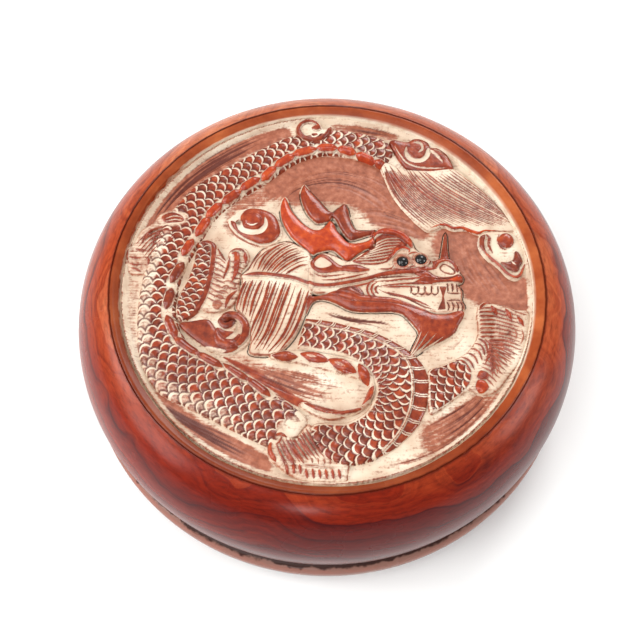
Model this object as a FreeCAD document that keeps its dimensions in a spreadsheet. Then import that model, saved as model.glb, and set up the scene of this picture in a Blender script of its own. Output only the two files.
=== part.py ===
"""Round turned and carved wooden box for a grinding inkstone and its ink stick.

The closed box is a flattened pebble. The base is a shallow tray with a raised lip, the lid drops
over that lip, and the two meet in a seam low on the side. The lid's top has a turned crest, a
polished band that slopes inwards from it, and a sunk panel with a dragon carved in relief. Two
glass beads are set in the dragon's head as its eyes. The inkstone lies loose in the tray, and the
ink stick lies on the stone.

Frame: millimetres, +Z up, the origin on the box's axis at the plane it stands on. -Y is the foot
of the carved picture, +Y is its top.
"""

import FreeCAD, Part
import os

import Sketcher

# The driving dimensions
SIZES = [
    ("body_radius", 55.0, "largest radius of the closed box"),
    ("seam_height", 11.6, "height of the seam where the lid meets the base"),
    ("bulge_rise", 4.4, "height of the largest radius over the seam"),
    ("seam_inset", 1.3, "how far the seam has come in from the largest radius"),
    ("seam_ease", 0.45, "eased edge on each side of the seam"),
    ("shoulder_inset", 2.6, "how far the lid's shoulder has come in from the largest radius"),
    ("shoulder_drop", 6.2, "height from the start of the shoulder to the crest"),
    ("crest_inset", 9.2, "how far the crest round the top has come in from the largest radius"),
    ("band_width", 2.4, "width of the polished band inside the crest"),
    ("band_drop", 0.5, "drop of the band from the crest to its inner edge"),
    ("ground_slope", 0.5, "run of the cut wall between the band and the ground"),
    ("ground_depth", 2.1, "depth of the carved ground under the crest"),
    ("top_thickness", 5.0, "wood between the carved ground and the lid's hollow"),
    ("headroom", 4.9, "air between the ink stick and the lid's hollow"),
    ("hollow_corner", 4.0, "corner radius of the lid's hollow"),
    ("seam_ledge", 5.7, "width of the ledge between the seam and the base's lip"),
    ("lip_height", 4.0, "height of the lip over the seam"),
    ("lip_wall", 3.2, "wall of the lip"),
    ("lip_ease", 0.6, "eased outer edge of the lip"),
    ("lid_clearance", 0.3, "radial clearance of the lid round the lip"),
    ("foot_inset", 11.0, "how far the foot has come in from the largest radius"),
    ("foot_ring", 6.0, "width of the ring that the box stands on"),
    ("foot_hollow_depth", 1.0, "depth of the hollow under the base"),
    ("floor_thickness", 4.0, "wood between the foot's hollow and the floor of the tray"),
    ("stone_clearance", 0.3, "radial clearance of the stone in the tray"),
    ("stone_height", 14.0, "height of the inkstone"),
    ("stone_ease", 1.2, "rounded edge of the stone"),
    ("rim_width", 4.5, "width of the stone's rim"),
    ("rim_slope", 1.2, "run of the slope from the rim to the grinding face"),
    ("grind_depth", 1.6, "depth of the grinding face under the rim"),
    ("well_rim", 2.0, "strip of grinding face left between the slope and the well"),
    ("well_width", 11.0, "width of the crescent well at its middle"),
    ("well_curve", 56.0, "radius of the well's inner edge"),
    ("well_depth", 7.0, "depth of the ink well under the stone's rim"),
    ("stick_length", 58.0, "length of the ink stick"),
    ("stick_width", 15.0, "width of the ink stick"),
    ("stick_height", 8.6, "height of the ink stick"),
    ("stick_bevel", 1.0, "bevel of the ink stick's edges"),
    ("stick_border", 2.6, "border round the sunk panel of the ink stick"),
    ("stick_panel", 0.5, "depth of the ink stick's sunk panel"),
    ("stick_forward", 9.0, "how far the stick lies in front of the box's axis"),
    ("bead_radius", 1.4, "radius of an eye bead"),
    ("bead_depth", 1.4, "depth of a bead's centre under the crest"),
    ("bead_fit", 0.05, "clearance of a bead in its socket"),
    ("left_eye_across", 15.9, "left eye, to the right of the axis"),
    ("left_eye_up", 5.9, "left eye, towards the top of the picture"),
    ("right_eye_across", 19.8, "right eye, to the right of the axis"),
    ("right_eye_up", 6.5, "right eye, towards the top of the picture"),
    ("relief_root", 0.5, "how deep the carved forms are rooted in the ground"),
    ("body_relief", 1.3, "relief of the dragon's long body"),
    ("neck_relief", 1.5, "relief of the dragon's neck"),
    ("head_relief", 1.8, "relief of the dragon's head"),
    ("horn_relief", 1.6, "relief of the horns"),
    ("mane_relief", 0.9, "relief of the mane"),
    ("fin_relief", 0.7, "relief of the tail fin"),
    ("limb_relief", 1.1, "relief of the legs and claws"),
    ("curl_relief", 1.2, "relief of the cloud curls"),
    ("curl_wall", 1.5, "width of a cloud curl's raised ring"),
    ("drawn_radius", 42.9, "radius of the panel that the outlines below are drawn on"),
]

# The carved forms on the panel: outlines as places across and up from the box's axis. A soft
# outline is a closed curve through its places, a sharp one has straight sides.
SOFT_FORMS = {
    "LongBody": ("body_relief", [
        (13, 36.5), (6, 39.5), (-2, 39.5), (-10, 37.5), (-20, 32), (-30, 25), (-36.5, 15), (-39, 3),
        (-38.5, -9), (-35, -18), (-27, -27), (-16, -34), (-5, -36), (-2, -31), (-8, -25), (-20, -18),
        (-29, -12), (-31.5, -3), (-29, 8), (-24, 17), (-15, 27), (-5, 32.5), (5, 33), (13, 31.5),
    ]),
    "Neck": ("neck_relief", [
        (-4, -9), (5, -9), (13, -12), (19, -17), (21, -23), (18, -31), (10, -38), (2, -39.5),
        (-3.5, -35), (0, -31), (7, -30), (9.5, -24), (7, -18), (-2, -15), (-5, -13),
    ]),
    "Head": ("head_relief", [
        (-5, 5), (2, 7.5), (10, 13), (17, 12.5), (22, 8.5), (27, 7), (28.5, 2), (25, -0.5), (28, -5.5),
        (25, -11), (19, -12), (17, -8), (11, -4.5), (2, -3.5), (-4, -1),
    ]),
    "Mane": ("mane_relief", [
        (-18, 8.5), (-11, 10.5), (-4, 8), (-3, -4), (-8, -15), (-15, -15), (-19, -9), (-20, 2),
    ]),
    "TailFin": ("fin_relief", [
        (11, 33), (22, 30.5), (30, 27), (35, 21.5), (38.5, 15.5), (31, 14), (23, 15.5), (17, 20),
        (13, 27),
    ]),
    "RightLeg": ("limb_relief", [
        (20, -18), (28, -15.5), (32, -10), (32, -4), (37, -4), (39.5, -7), (39.5, -12), (36, -18.5),
        (30, -23.5), (21, -25),
    ]),
    "LeftClaws": ("limb_relief", [
        (-39.5, 2), (-40.5, 7), (-38, 13), (-34.5, 17.5), (-30, 17), (-29, 11), (-34, 4),
    ]),
    "LeftHand": ("limb_relief", [
        (-28, 11), (-23, 9), (-18, 9), (-18, 2), (-22, -5), (-29, -8), (-31, -3), (-29, 5),
    ]),
    "LowerClaw": ("limb_relief", [
        (-10, -34), (-3, -37), (4.5, -37.5), (4.5, -40.6), (-3, -41.2), (-8.5, -38.8),
    ]),
}
SHARP_FORMS = {
    "Horns": ("horn_relief", [
        (-10, 22), (-10, 16), (-5, 9.5), (2, 6), (9, 9), (9, 13), (5.5, 15.5), (3.5, 20.5), (0, 18.5),
        (-5.8, 25.3), (-6.3, 20), (-4, 14.5), (-8, 17.5),
    ]),
    "Whisker": ("horn_relief", [(24.2, 4), (26, 4), (25.4, 14)]),
}
CURLS = {
    "LeftCurl": (-15, 14.2, 4.6),
    "UpperCurl": (-4.6, 38.9, 2.9),
    "UpperCloud": (18.5, 33.3, 4.0),
    "RightCloud": (37, 9.0, 3.7),
    "LowerCurl": (-19.5, -10.5, 4.8),
}

# Radii and heights that several pieces share, as sums of the driving dimensions
SEAM_RADIUS = "body_radius - seam_inset"
CREST_RADIUS = "body_radius - crest_inset"
PANEL_RADIUS = CREST_RADIUS + " - band_width - ground_slope"
FOOT_RADIUS = "body_radius - foot_inset"
LIP_RADIUS = SEAM_RADIUS + " - seam_ledge"
HOLLOW_RADIUS = LIP_RADIUS + " + lid_clearance"
TRAY_RADIUS = LIP_RADIUS + " - lip_wall"
STONE_RADIUS = TRAY_RADIUS + " - stone_clearance"
TRAY_FLOOR = "foot_hollow_depth + floor_thickness"
GRINDING_FACE = TRAY_FLOOR + " + stone_height - grind_depth"
CEILING = GRINDING_FACE + " + stick_height + headroom"
GROUND_HEIGHT = CEILING + " + top_thickness"
CREST_HEIGHT = GROUND_HEIGHT + " + ground_depth"

# How a section's outline leaves a corner: straight, along an arc that ends upright, or along an
# arc that carries on the way the outline came
STRAIGHT, UPRIGHT_ARC, SMOOTH_ARC = range(3)

doc = FreeCAD.newDocument("InkstoneBox")
sheet = doc.addObject("Spreadsheet::Sheet", "Sizes")
for row, (alias, value, note) in enumerate(SIZES, start=1):
    sheet.set(f"A{row}", note)
    sheet.set(f"B{row}", str(value))
    sheet.setAlias(f"B{row}", alias)
doc.recompute()


def total(text):
    """The value of a sum of named sizes, such as 'lip_wall + stone_clearance', or of a plain 0."""
    value = 0.0
    sign = 1.0
    for word in text.split():
        if word in "+-":
            sign = -1.0 if word == "-" else 1.0
        elif word != "0":
            value += sign * float(sheet.get(word))
    return value


def bound(text):
    """The same sum as an expression that follows the sheet."""
    return " ".join(word if word in "+-" else f"Sizes.{word}" for word in text.split())


def make_body(label):
    """An empty body that is named after its piece."""
    body = doc.addObject("PartDesign::Body", label)
    body.Label = label
    return body


def new_sketch(body, name, role, height="0"):
    """A sketch on one of the body's own origin planes, lifted by a sum of sizes."""
    sketch = body.newObject("Sketcher::SketchObject", name)
    plane = next(feature for feature in body.Origin.OriginFeatures if feature.Role == role)
    sketch.AttachmentSupport = [(plane, "")]
    sketch.MapMode = "FlatFace"
    if height != "0":
        lift = FreeCAD.Vector(0, 0, total(height))
        sketch.AttachmentOffset = FreeCAD.Placement(lift, FreeCAD.Rotation())
        sketch.setExpression("AttachmentOffset.Base.z", bound(height))
    return sketch


def mirrored(direction, chord):
    """Where an arc points at one end of its chord, given where it points at the other."""
    along = FreeCAD.Vector(chord).normalize()
    return along * (2 * along.dot(direction)) - direction


def arc_leaving(start, end, direction):
    """The anticlockwise arc between two places that leaves start along direction.

    Returns the arc, and which of its ends start and end are: 1 for its first, 2 for its last.
    """
    chord = end - start
    across = FreeCAD.Vector(-direction.y, direction.x, 0)
    centre = start + across * (chord.Length**2 / (2 * across.dot(chord)))
    radius = (start - centre).Length
    middle = centre + ((start + end) * 0.5 - centre).normalize() * radius
    if across.dot(chord) > 0:
        return Part.Arc(start, middle, end), (1, 2)
    return Part.Arc(end, middle, start), (2, 1)


def section(body, name, corners):
    """A closed sketch of radius and height, with each corner bound to its sums of sizes."""
    sketch = new_sketch(body, name, "XZ_Plane")
    places = [FreeCAD.Vector(total(across), total(up), 0) for across, up, leaving in corners]
    count = len(corners)
    ends = []
    heading = FreeCAD.Vector(1, 0, 0)
    for index, (across, up, leaving) in enumerate(corners):
        start = places[index]
        end = places[(index + 1) % count]
        if leaving == STRAIGHT:
            sketch.addGeometry(Part.LineSegment(start, end), False)
            ends.append((1, 2))
            heading = (end - start).normalize()
            continue
        if leaving == UPRIGHT_ARC:
            heading = mirrored(FreeCAD.Vector(0, 1, 0), end - start)
        arc, arc_ends = arc_leaving(start, end, heading)
        sketch.addGeometry(arc, False)
        ends.append(arc_ends)
        heading = mirrored(heading, end - start)
    for index, (across, up, leaving) in enumerate(corners):
        before = (index - 1) % count
        joint = "Tangent" if leaving == SMOOTH_ARC else "Coincident"
        sketch.addConstraint(
            Sketcher.Constraint(joint, before, ends[before][1], index, ends[index][0])
        )
        for kind, text, axis in (("DistanceX", across, -2), ("DistanceY", up, -1)):
            if text == "0":
                sketch.addConstraint(
                    Sketcher.Constraint("PointOnObject", index, ends[index][0], axis)
                )
            else:
                hold(sketch, kind, index, ends[index][0], text)
        if leaving == UPRIGHT_ARC:
            hold(sketch, "DistanceY", index, 3, corners[(index + 1) % count][1])
    doc.recompute()
    return sketch


def hold(sketch, kind, item, vertex, text):
    """Hold a point of a sketch at a distance from the origin that follows the sheet."""
    place = Sketcher.Constraint(kind, -1, 1, item, vertex, total(text))
    sketch.setExpression(f"Constraints[{sketch.addConstraint(place)}]", bound(text))


def turned(label, corners):
    """A body that is its section turned about the box's axis."""
    body = make_body(label)
    sketch = section(body, label + "_section", corners)
    turn = body.newObject("PartDesign::Revolution", label + "_turning")
    turn.Profile = sketch
    turn.ReferenceAxis = (sketch, ["V_Axis"])
    turn.Angle = 360
    sketch.Visibility = False
    doc.recompute()
    return body


def pad(body, name, sketch, length):
    """A pad whose length is a sum of sizes."""
    feature = body.newObject("PartDesign::Pad", name)
    feature.Profile = sketch
    feature.setExpression("Length", bound(length))
    return feature


def pocket(body, name, sketch, depth):
    """A pocket cut down from its sketch by a sum of sizes."""
    feature = body.newObject("PartDesign::Pocket", name)
    feature.Profile = sketch
    feature.setExpression("Length", bound(depth))
    return feature


def rectangle(sketch, length, width):
    """A rectangle centred on the sketch's origin, its sides bound to sums of sizes."""
    half_length = total(length) / 2
    half_width = total(width) / 2
    signs = [(-1, -1), (1, -1), (1, 1), (-1, 1)]
    places = [FreeCAD.Vector(sx * half_length, sy * half_width, 0) for sx, sy in signs]
    for index in range(4):
        sketch.addGeometry(Part.LineSegment(places[index], places[(index + 1) % 4]), False)
    for index in range(4):
        sketch.addConstraint(Sketcher.Constraint("Coincident", index, 2, (index + 1) % 4, 1))
        level = "Horizontal" if index % 2 == 0 else "Vertical"
        sketch.addConstraint(Sketcher.Constraint(level, index))
    sketch.addConstraint(Sketcher.Constraint("Symmetric", 0, 1, 2, 1, -1, 1))
    for kind, side, text in (("DistanceX", 0, length), ("DistanceY", 1, width)):
        span = sketch.addConstraint(Sketcher.Constraint(kind, side, 1, side, 2, total(text)))
        sketch.setExpression(f"Constraints[{span}]", bound(text))


def soft_outline(sketch, places):
    """One closed smooth curve through the places."""
    curve = Part.BSplineCurve()
    curve.interpolate(Points=places, PeriodicFlag=True)
    sketch.addGeometry(curve, False)
    sketch.addConstraint(Sketcher.Constraint("Block", 0))


def sharp_outline(sketch, places):
    """Straight sides from place to place."""
    count = len(places)
    for index in range(count):
        sketch.addGeometry(Part.LineSegment(places[index], places[(index + 1) % count]), False)
    for index in range(count):
        sketch.addConstraint(Sketcher.Constraint("Coincident", index, 2, (index + 1) % count, 1))


def ring_outline(sketch, centre, radius, wall):
    """Two circles about one centre."""
    upright = FreeCAD.Vector(0, 0, 1)
    sketch.addGeometry(Part.Circle(centre, upright, radius), False)
    sketch.addGeometry(Part.Circle(centre, upright, radius - wall), False)


def carve_forms(body):
    """Raise the carved forms from the panel's ground, drawn to the panel's real radius."""
    drawn_to_panel = total(PANEL_RADIUS) / total("drawn_radius")
    root = GROUND_HEIGHT + " - relief_root"
    for outlines, draw in ((SOFT_FORMS, soft_outline), (SHARP_FORMS, sharp_outline)):
        for name, (relief, outline) in outlines.items():
            places = [FreeCAD.Vector(across, up, 0) * drawn_to_panel for across, up in outline]
            sketch = new_sketch(body, name + "_outline", "XY_Plane", root)
            draw(sketch, places)
            pad(body, name, sketch, f"relief_root + {relief}")
    for name, (across, up, radius) in CURLS.items():
        sketch = new_sketch(body, name + "_outline", "XY_Plane", root)
        centre = FreeCAD.Vector(across, up, 0) * drawn_to_panel
        ring_outline(sketch, centre, radius * drawn_to_panel, total("curl_wall"))
        pad(body, name, sketch, "relief_root + curl_relief")
    doc.recompute()


def drill_eye_socket(body, side):
    """A round socket for one bead, from the crest's level down to the bead's underside."""
    sketch = new_sketch(body, side + "_socket_outline", "XY_Plane", CREST_HEIGHT)
    centre = FreeCAD.Vector(total(side + "_eye_across"), total(side + "_eye_up"), 0)
    radius = total("bead_radius + bead_fit")
    sketch.addGeometry(Part.Circle(centre, FreeCAD.Vector(0, 0, 1), radius), False)
    hold(sketch, "DistanceX", 0, 3, side + "_eye_across")
    hold(sketch, "DistanceY", 0, 3, side + "_eye_up")
    span = sketch.addConstraint(Sketcher.Constraint("Radius", 0, radius))
    sketch.setExpression(f"Constraints[{span}]", bound("bead_radius + bead_fit"))
    pocket(body, side + "_socket", sketch, "bead_depth + bead_radius + bead_fit")
    doc.recompute()


def make_base():
    """The tray: a foot ring, a rounded side up to the seam, and a lip inside it."""
    return turned("base", [
        ("0", "foot_hollow_depth", STRAIGHT),
        (FOOT_RADIUS + " - foot_ring", "foot_hollow_depth", STRAIGHT),
        (FOOT_RADIUS + " - foot_ring", "0", STRAIGHT),
        (FOOT_RADIUS, "0", UPRIGHT_ARC),
        (SEAM_RADIUS, "seam_height - seam_ease", STRAIGHT),
        (SEAM_RADIUS + " - seam_ease", "seam_height", STRAIGHT),
        (LIP_RADIUS, "seam_height", STRAIGHT),
        (LIP_RADIUS, "seam_height + lip_height - lip_ease", STRAIGHT),
        (LIP_RADIUS + " - lip_ease", "seam_height + lip_height", STRAIGHT),
        (TRAY_RADIUS, "seam_height + lip_height", STRAIGHT),
        (TRAY_RADIUS, TRAY_FLOOR, STRAIGHT),
        ("0", TRAY_FLOOR, STRAIGHT),
    ])


def make_lid():
    """The turned lid, hollow below, with the carved panel and the eye sockets on top."""
    body = turned("lid", [
        (HOLLOW_RADIUS, "seam_height", STRAIGHT),
        (SEAM_RADIUS + " - seam_ease", "seam_height", STRAIGHT),
        (SEAM_RADIUS, "seam_height + seam_ease", UPRIGHT_ARC),
        ("body_radius", "seam_height + bulge_rise", SMOOTH_ARC),
        ("body_radius - shoulder_inset", CREST_HEIGHT + " - shoulder_drop", SMOOTH_ARC),
        (CREST_RADIUS, CREST_HEIGHT, STRAIGHT),
        (CREST_RADIUS + " - band_width", CREST_HEIGHT + " - band_drop", STRAIGHT),
        (PANEL_RADIUS, GROUND_HEIGHT, STRAIGHT),
        ("0", GROUND_HEIGHT, STRAIGHT),
        ("0", CEILING, STRAIGHT),
        (HOLLOW_RADIUS + " - hollow_corner", CEILING, SMOOTH_ARC),
        (HOLLOW_RADIUS, CEILING + " - hollow_corner", STRAIGHT),
    ])
    carve_forms(body)
    for side in ("left", "right"):
        drill_eye_socket(body, side)
    return body


def make_eye(side):
    """One black glass bead in its socket in the dragon's head."""
    bead = doc.addObject("Part::Sphere", side + "_eye")
    bead.Label = side + "_eye"
    bead.setExpression("Radius", bound("bead_radius"))
    bead.setExpression("Placement.Base.x", bound(side + "_eye_across"))
    bead.setExpression("Placement.Base.y", bound(side + "_eye_up"))
    bead.setExpression("Placement.Base.z", bound(CREST_HEIGHT + " - bead_depth"))
    return bead


def make_inkstone():
    """The round grinding stone: a raised rim, a flat grinding face and a crescent ink well."""
    grind_radius = STONE_RADIUS + " - rim_width - rim_slope"
    body = turned("inkstone", [
        ("0", "0", STRAIGHT),
        (STONE_RADIUS + " - stone_ease", "0", SMOOTH_ARC),
        (STONE_RADIUS, "stone_ease", STRAIGHT),
        (STONE_RADIUS, "stone_height - stone_ease", SMOOTH_ARC),
        (STONE_RADIUS + " - stone_ease", "stone_height", STRAIGHT),
        (STONE_RADIUS + " - rim_width", "stone_height", STRAIGHT),
        (grind_radius, "stone_height - grind_depth", STRAIGHT),
        ("0", "stone_height - grind_depth", STRAIGHT),
    ])
    outer = total(grind_radius + " - well_rim")
    curve = total("well_curve")
    inner_centre = total(grind_radius + " - well_rim - well_width - well_curve")
    crossing = (outer**2 - curve**2 + inner_centre**2) / (2 * inner_centre)
    corner = FreeCAD.Vector((outer**2 - crossing**2) ** 0.5, crossing, 0)
    far_corner = FreeCAD.Vector(-corner.x, corner.y, 0)
    outline = new_sketch(body, "well_outline", "XY_Plane", "stone_height")
    outer_top = FreeCAD.Vector(0, outer, 0)
    inner_top = FreeCAD.Vector(0, inner_centre + curve, 0)
    for middle in (outer_top, inner_top):
        outline.addGeometry(Part.Arc(corner, middle, far_corner), False)
    pocket(body, "well", outline, "well_depth")
    body.setExpression("Placement.Base.z", bound(TRAY_FLOOR))
    doc.recompute()
    return body


def make_ink_stick():
    """The moulded ink stick, bevelled all round, with a plain sunk panel on its top."""
    body = make_body("ink_stick")
    outline = new_sketch(body, "stick_outline", "XY_Plane")
    rectangle(outline, "stick_length", "stick_width")
    block = pad(body, "stick_block", outline, "stick_height")
    doc.recompute()
    bevel = body.newObject("PartDesign::Chamfer", "stick_bevels")
    edges = [f"Edge{number}" for number in range(1, len(block.Shape.Edges) + 1)]
    bevel.Base = (block, edges)
    bevel.setExpression("Size", bound("stick_bevel"))
    panel = new_sketch(body, "panel_outline", "XY_Plane", "stick_height")
    sunk = " - stick_border - stick_border"
    rectangle(panel, "stick_length" + sunk, "stick_width" + sunk)
    pocket(body, "sunk_panel", panel, "stick_panel")
    body.setExpression("Placement.Base.y", "-1 * " + bound("stick_forward"))
    body.setExpression("Placement.Base.z", bound(GRINDING_FACE))
    doc.recompute()
    return body


pieces = [
    make_base(),
    make_inkstone(),
    make_ink_stick(),
    make_lid(),
    make_eye("left"),
    make_eye("right"),
]
doc.recompute()

for item in doc.Objects:
    if "Invalid" in item.State or "Error" in item.State:
        raise RuntimeError(f"{item.Name} failed: {item.State}")
for piece in pieces:
    if piece.Shape.isNull() or not piece.Shape.isValid() or len(piece.Shape.Solids) != 1:
        raise RuntimeError(f"{piece.Label} is not one valid solid")

os.makedirs("parts", exist_ok=True)
for piece in pieces:
    piece.Shape.exportStep(f"parts/{piece.Label}.step")
    box = piece.Shape.BoundBox
    low = f"({box.XMin:.2f}, {box.YMin:.2f}, {box.ZMin:.2f})"
    high = f"({box.XMax:.2f}, {box.YMax:.2f}, {box.ZMax:.2f})"
    print(f"{piece.Label}: {piece.Shape.Volume / 1000:.2f} cm3 from {low} to {high}")
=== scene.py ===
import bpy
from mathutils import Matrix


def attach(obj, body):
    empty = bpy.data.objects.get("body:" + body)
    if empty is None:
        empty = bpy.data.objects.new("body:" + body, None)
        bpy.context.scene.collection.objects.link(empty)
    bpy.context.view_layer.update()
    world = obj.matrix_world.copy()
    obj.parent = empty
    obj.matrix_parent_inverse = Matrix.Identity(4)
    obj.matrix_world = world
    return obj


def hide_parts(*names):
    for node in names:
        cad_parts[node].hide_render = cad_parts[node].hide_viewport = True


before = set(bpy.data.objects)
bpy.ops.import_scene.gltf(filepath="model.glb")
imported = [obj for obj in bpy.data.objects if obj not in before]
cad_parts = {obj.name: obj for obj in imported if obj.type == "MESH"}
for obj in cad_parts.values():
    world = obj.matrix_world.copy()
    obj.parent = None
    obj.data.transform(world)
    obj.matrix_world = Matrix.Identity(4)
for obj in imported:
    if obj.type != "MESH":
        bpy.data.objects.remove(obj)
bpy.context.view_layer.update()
# %% [markdown]
# Everything in the scene is in metres, but a small carving is easier to read in millimetres, so one
# value turns the one into the other. Colours are shown as they are written, with no film look.
# %% Tools
import math

import bpy
import numpy as np
from mathutils import Matrix, Vector

MM = 0.001
scene = bpy.context.scene
scene.view_settings.view_transform = "Standard"
print("millimetres are multiplied by", MM)
# %% [markdown]
# The photo looks down at the box from the front. A camera could be placed by eye, but its height,
# distance, roll and lens were fitted to the crest of the rim, the outline and the seam, so that
# sizes read off the photo agree with the solids.
# %% Camera
LOOK_HEIGHT = 0.01897
CAMERA_DISTANCE = 0.2475
CAMERA_ELEVATION = math.radians(64.3)
CAMERA_ROLL = math.radians(0.86)
CAMERA_LENS = 61.65
CAMERA_SHIFT = (-0.0111, 0.0089)

toward_camera = Vector((0, -math.cos(CAMERA_ELEVATION), math.sin(CAMERA_ELEVATION)))
level_right = Vector((1, 0, 0))
level_up = toward_camera.cross(level_right)
camera_right = level_right * math.cos(CAMERA_ROLL) + level_up * math.sin(CAMERA_ROLL)
camera_up = toward_camera.cross(camera_right)
turn = Matrix((camera_right, camera_up, toward_camera)).transposed()

bpy.ops.object.select_all(action="DESELECT")
bpy.ops.object.camera_add()
camera = bpy.context.active_object
camera.name = "photo_camera"
camera.location = Vector((0, 0, LOOK_HEIGHT)) + toward_camera * CAMERA_DISTANCE
camera.rotation_mode = "QUATERNION"
camera.rotation_quaternion = turn.to_quaternion()
camera.data.lens = CAMERA_LENS
camera.data.sensor_width = 36
camera.data.shift_x = CAMERA_SHIFT[0]
camera.data.shift_y = CAMERA_SHIFT[1]
camera.data.clip_start = 0.01
camera.data.clip_end = 20
scene.camera = camera
print("the camera stands at", tuple(camera.location))
# %% [markdown]
# The box stands on a plain white sheet. A large plane is enough.
# %% White sheet
FLOOR_SIZE = 6.0

bpy.ops.object.select_all(action="DESELECT")
bpy.ops.mesh.primitive_plane_add(size=FLOOR_SIZE, location=(0, 0, 0))
floor = bpy.context.active_object
floor.name = "floor"
print("the sheet is", FLOOR_SIZE, "m wide")
# %% [markdown]
# Polished wood shows its shape by what it mirrors. Windows left and right give the long soft
# streaks on the rim, the lamp overhead lights the carving, and a small one in front gives the
# highlight near the lower edge. Square area lamps do this with little noise.
# %% Lamps
LAMPS = (
    ("back_window", (0.35, 0.95, 0.75), 0.02, 0.55, 8.0),
    ("overhead", (-0.35, -0.25, 1.1), 0.02, 0.8, 6.5),
    ("left_window", (-0.80, 0.05, 0.55), 0.03, 0.30, 3.2),
    ("right_window", (0.85, -0.14, 0.40), 0.03, 0.34, 2.6),
    ("low_left_window", (-0.80, -0.36, 0.44), 0.03, 0.42, 3.6),
    ("front_lamp", (-0.10, -0.80, 0.50), 0.03, 0.10, 0.9),
)


def soft_lamp(name, place, aim, size, power):
    """A square soft light that looks at a point."""
    bpy.ops.object.select_all(action="DESELECT")
    bpy.ops.object.light_add(type="AREA", location=place)
    lamp = bpy.context.active_object
    lamp.name = name
    lamp.data.shape = "SQUARE"
    lamp.data.size = size
    lamp.data.energy = power
    lamp.rotation_mode = "QUATERNION"
    lamp.rotation_quaternion = (Vector(aim) - Vector(place)).to_track_quat("-Z", "Y")
    return lamp
for name, place, aim_height, size, power in LAMPS:
    soft_lamp(name, place, (0, 0, aim_height), size, power)
print(len(LAMPS), "lamps stand round the box")
# %% [markdown]
# A room's walls send back a little light from all sides. The world gives it at a low strength, and
# shows itself as plain white to the camera alone, as in a product photo.
# %% Room light
AMBIENT = 0.45

world = bpy.data.worlds.new("studio")
scene.world = world
world.use_nodes = True
world_nodes = world.node_tree.nodes
world_links = world.node_tree.links
surroundings = world_nodes["Background"]
surroundings.inputs["Color"].default_value = (1.0, 1.0, 1.0, 1)
ray = world_nodes.new("ShaderNodeLightPath")
strength = world_nodes.new("ShaderNodeMapRange")
strength.inputs["To Min"].default_value = AMBIENT
strength.inputs["To Max"].default_value = 1.0
world_links.new(ray.outputs["Is Camera Ray"], strength.inputs["Value"])
world_links.new(strength.outputs[0], surroundings.inputs["Strength"])
print("the room gives light at strength", AMBIENT)
# %% [markdown]
# Wood, stone and ink are not one colour each. Their finishes are built from shader nodes, which
# hold at any size and from any side, where a photo on the surface would blur. Two helpers make a
# material and add one node with its inputs.
# %% Materials from nodes
def new_material(name):
    """A material with one Principled shader, and its node tree."""
    material = bpy.data.materials.new(name)
    material.use_nodes = True
    tree = material.node_tree
    return material, tree, tree.nodes["Principled BSDF"]


def put(tree, kind, links=None, **settings):
    """Adds one shader node, sets what is named, and joins its inputs to other nodes' outputs."""
    node = tree.nodes.new(kind)
    for name, value in settings.items():
        setattr(node, name, value)
    for socket, source in (links or {}).items():
        if isinstance(source, bpy.types.NodeSocket):
            tree.links.new(source, node.inputs[socket])
        else:
            node.inputs[socket].default_value = source
    return node


def placed(tree):
    """The place on the piece itself, so a pattern stays on it when it moves."""
    return put(tree, "ShaderNodeTexCoord").outputs["Object"]
# %% [markdown]
# A finish is worked out from place, height and noise with small sums. Each sum is one node, and
# these helpers let it be written in one line.
# %% Sums in a material
def calculate(tree, operation, first, second=0.0, third=0.0, clamp=False):
    """The result of one sum on numbers or sockets."""
    node = put(
        tree, "ShaderNodeMath", {0: first, 1: second, 2: third}, operation=operation, use_clamp=clamp
    )
    return node.outputs[0]


def times(tree, first, second):
    """One value times another."""
    return calculate(tree, "MULTIPLY", first, second)


def less(tree, first, second):
    """One value less another."""
    return calculate(tree, "SUBTRACT", first, second)


def between(tree, value, start, end, low=0.0, high=1.0):
    """Goes from low to high while a value goes from start to end, and stays there beyond them."""
    return put(tree, "ShaderNodeMapRange", {0: value, 1: start, 2: end, 3: low, 4: high}).outputs[0]
# %% [markdown]
# Noise gives natural finishes their uneven look. Stretched, it makes streaks, a ramp
# turns it into colours, and a blend lays one colour over another.
# %% Patterns and colours
def noise(tree, place, scale, detail=4.0, roughness=0.5, distortion=0.0):
    """A grey noise between 0 and 1, mostly round 0.5."""
    sockets = {"Vector": place, "Scale": scale, "Detail": detail}
    sockets.update({"Roughness": roughness, "Distortion": distortion})
    return put(tree, "ShaderNodeTexNoise", sockets).outputs["Fac"]


def stretched(tree, place, factors):
    """The same place with each direction scaled, which draws a pattern out into streaks."""
    return put(tree, "ShaderNodeMapping", {"Vector": place, "Scale": factors}).outputs[0]


def ramp(tree, value, stops):
    """A colour for each value: stops are (value, colour)."""
    node = put(tree, "ShaderNodeValToRGB", {"Fac": value})
    elements = node.color_ramp.elements
    elements[0].position = stops[0][0]
    elements[0].color = (*stops[0][1], 1)
    elements[1].position = stops[-1][0]
    elements[1].color = (*stops[-1][1], 1)
    for position, colour in stops[1:-1]:
        element = elements.new(position)
        element.color = (*colour, 1)
    return node.outputs["Color"]


def blend_colours(tree, share, first, second, kind="MIX"):
    """One colour over another, by a share between 0 and 1."""
    node = put(tree, "ShaderNodeMix", data_type="RGBA", blend_type=kind)
    for socket, source in ((0, share), (6, first), (7, second)):
        if isinstance(source, bpy.types.NodeSocket):
            tree.links.new(source, node.inputs[socket])
        elif socket == 0:
            node.inputs[socket].default_value = source
        else:
            node.inputs[socket].default_value = (*source, 1)
    return node.outputs[2]
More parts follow.
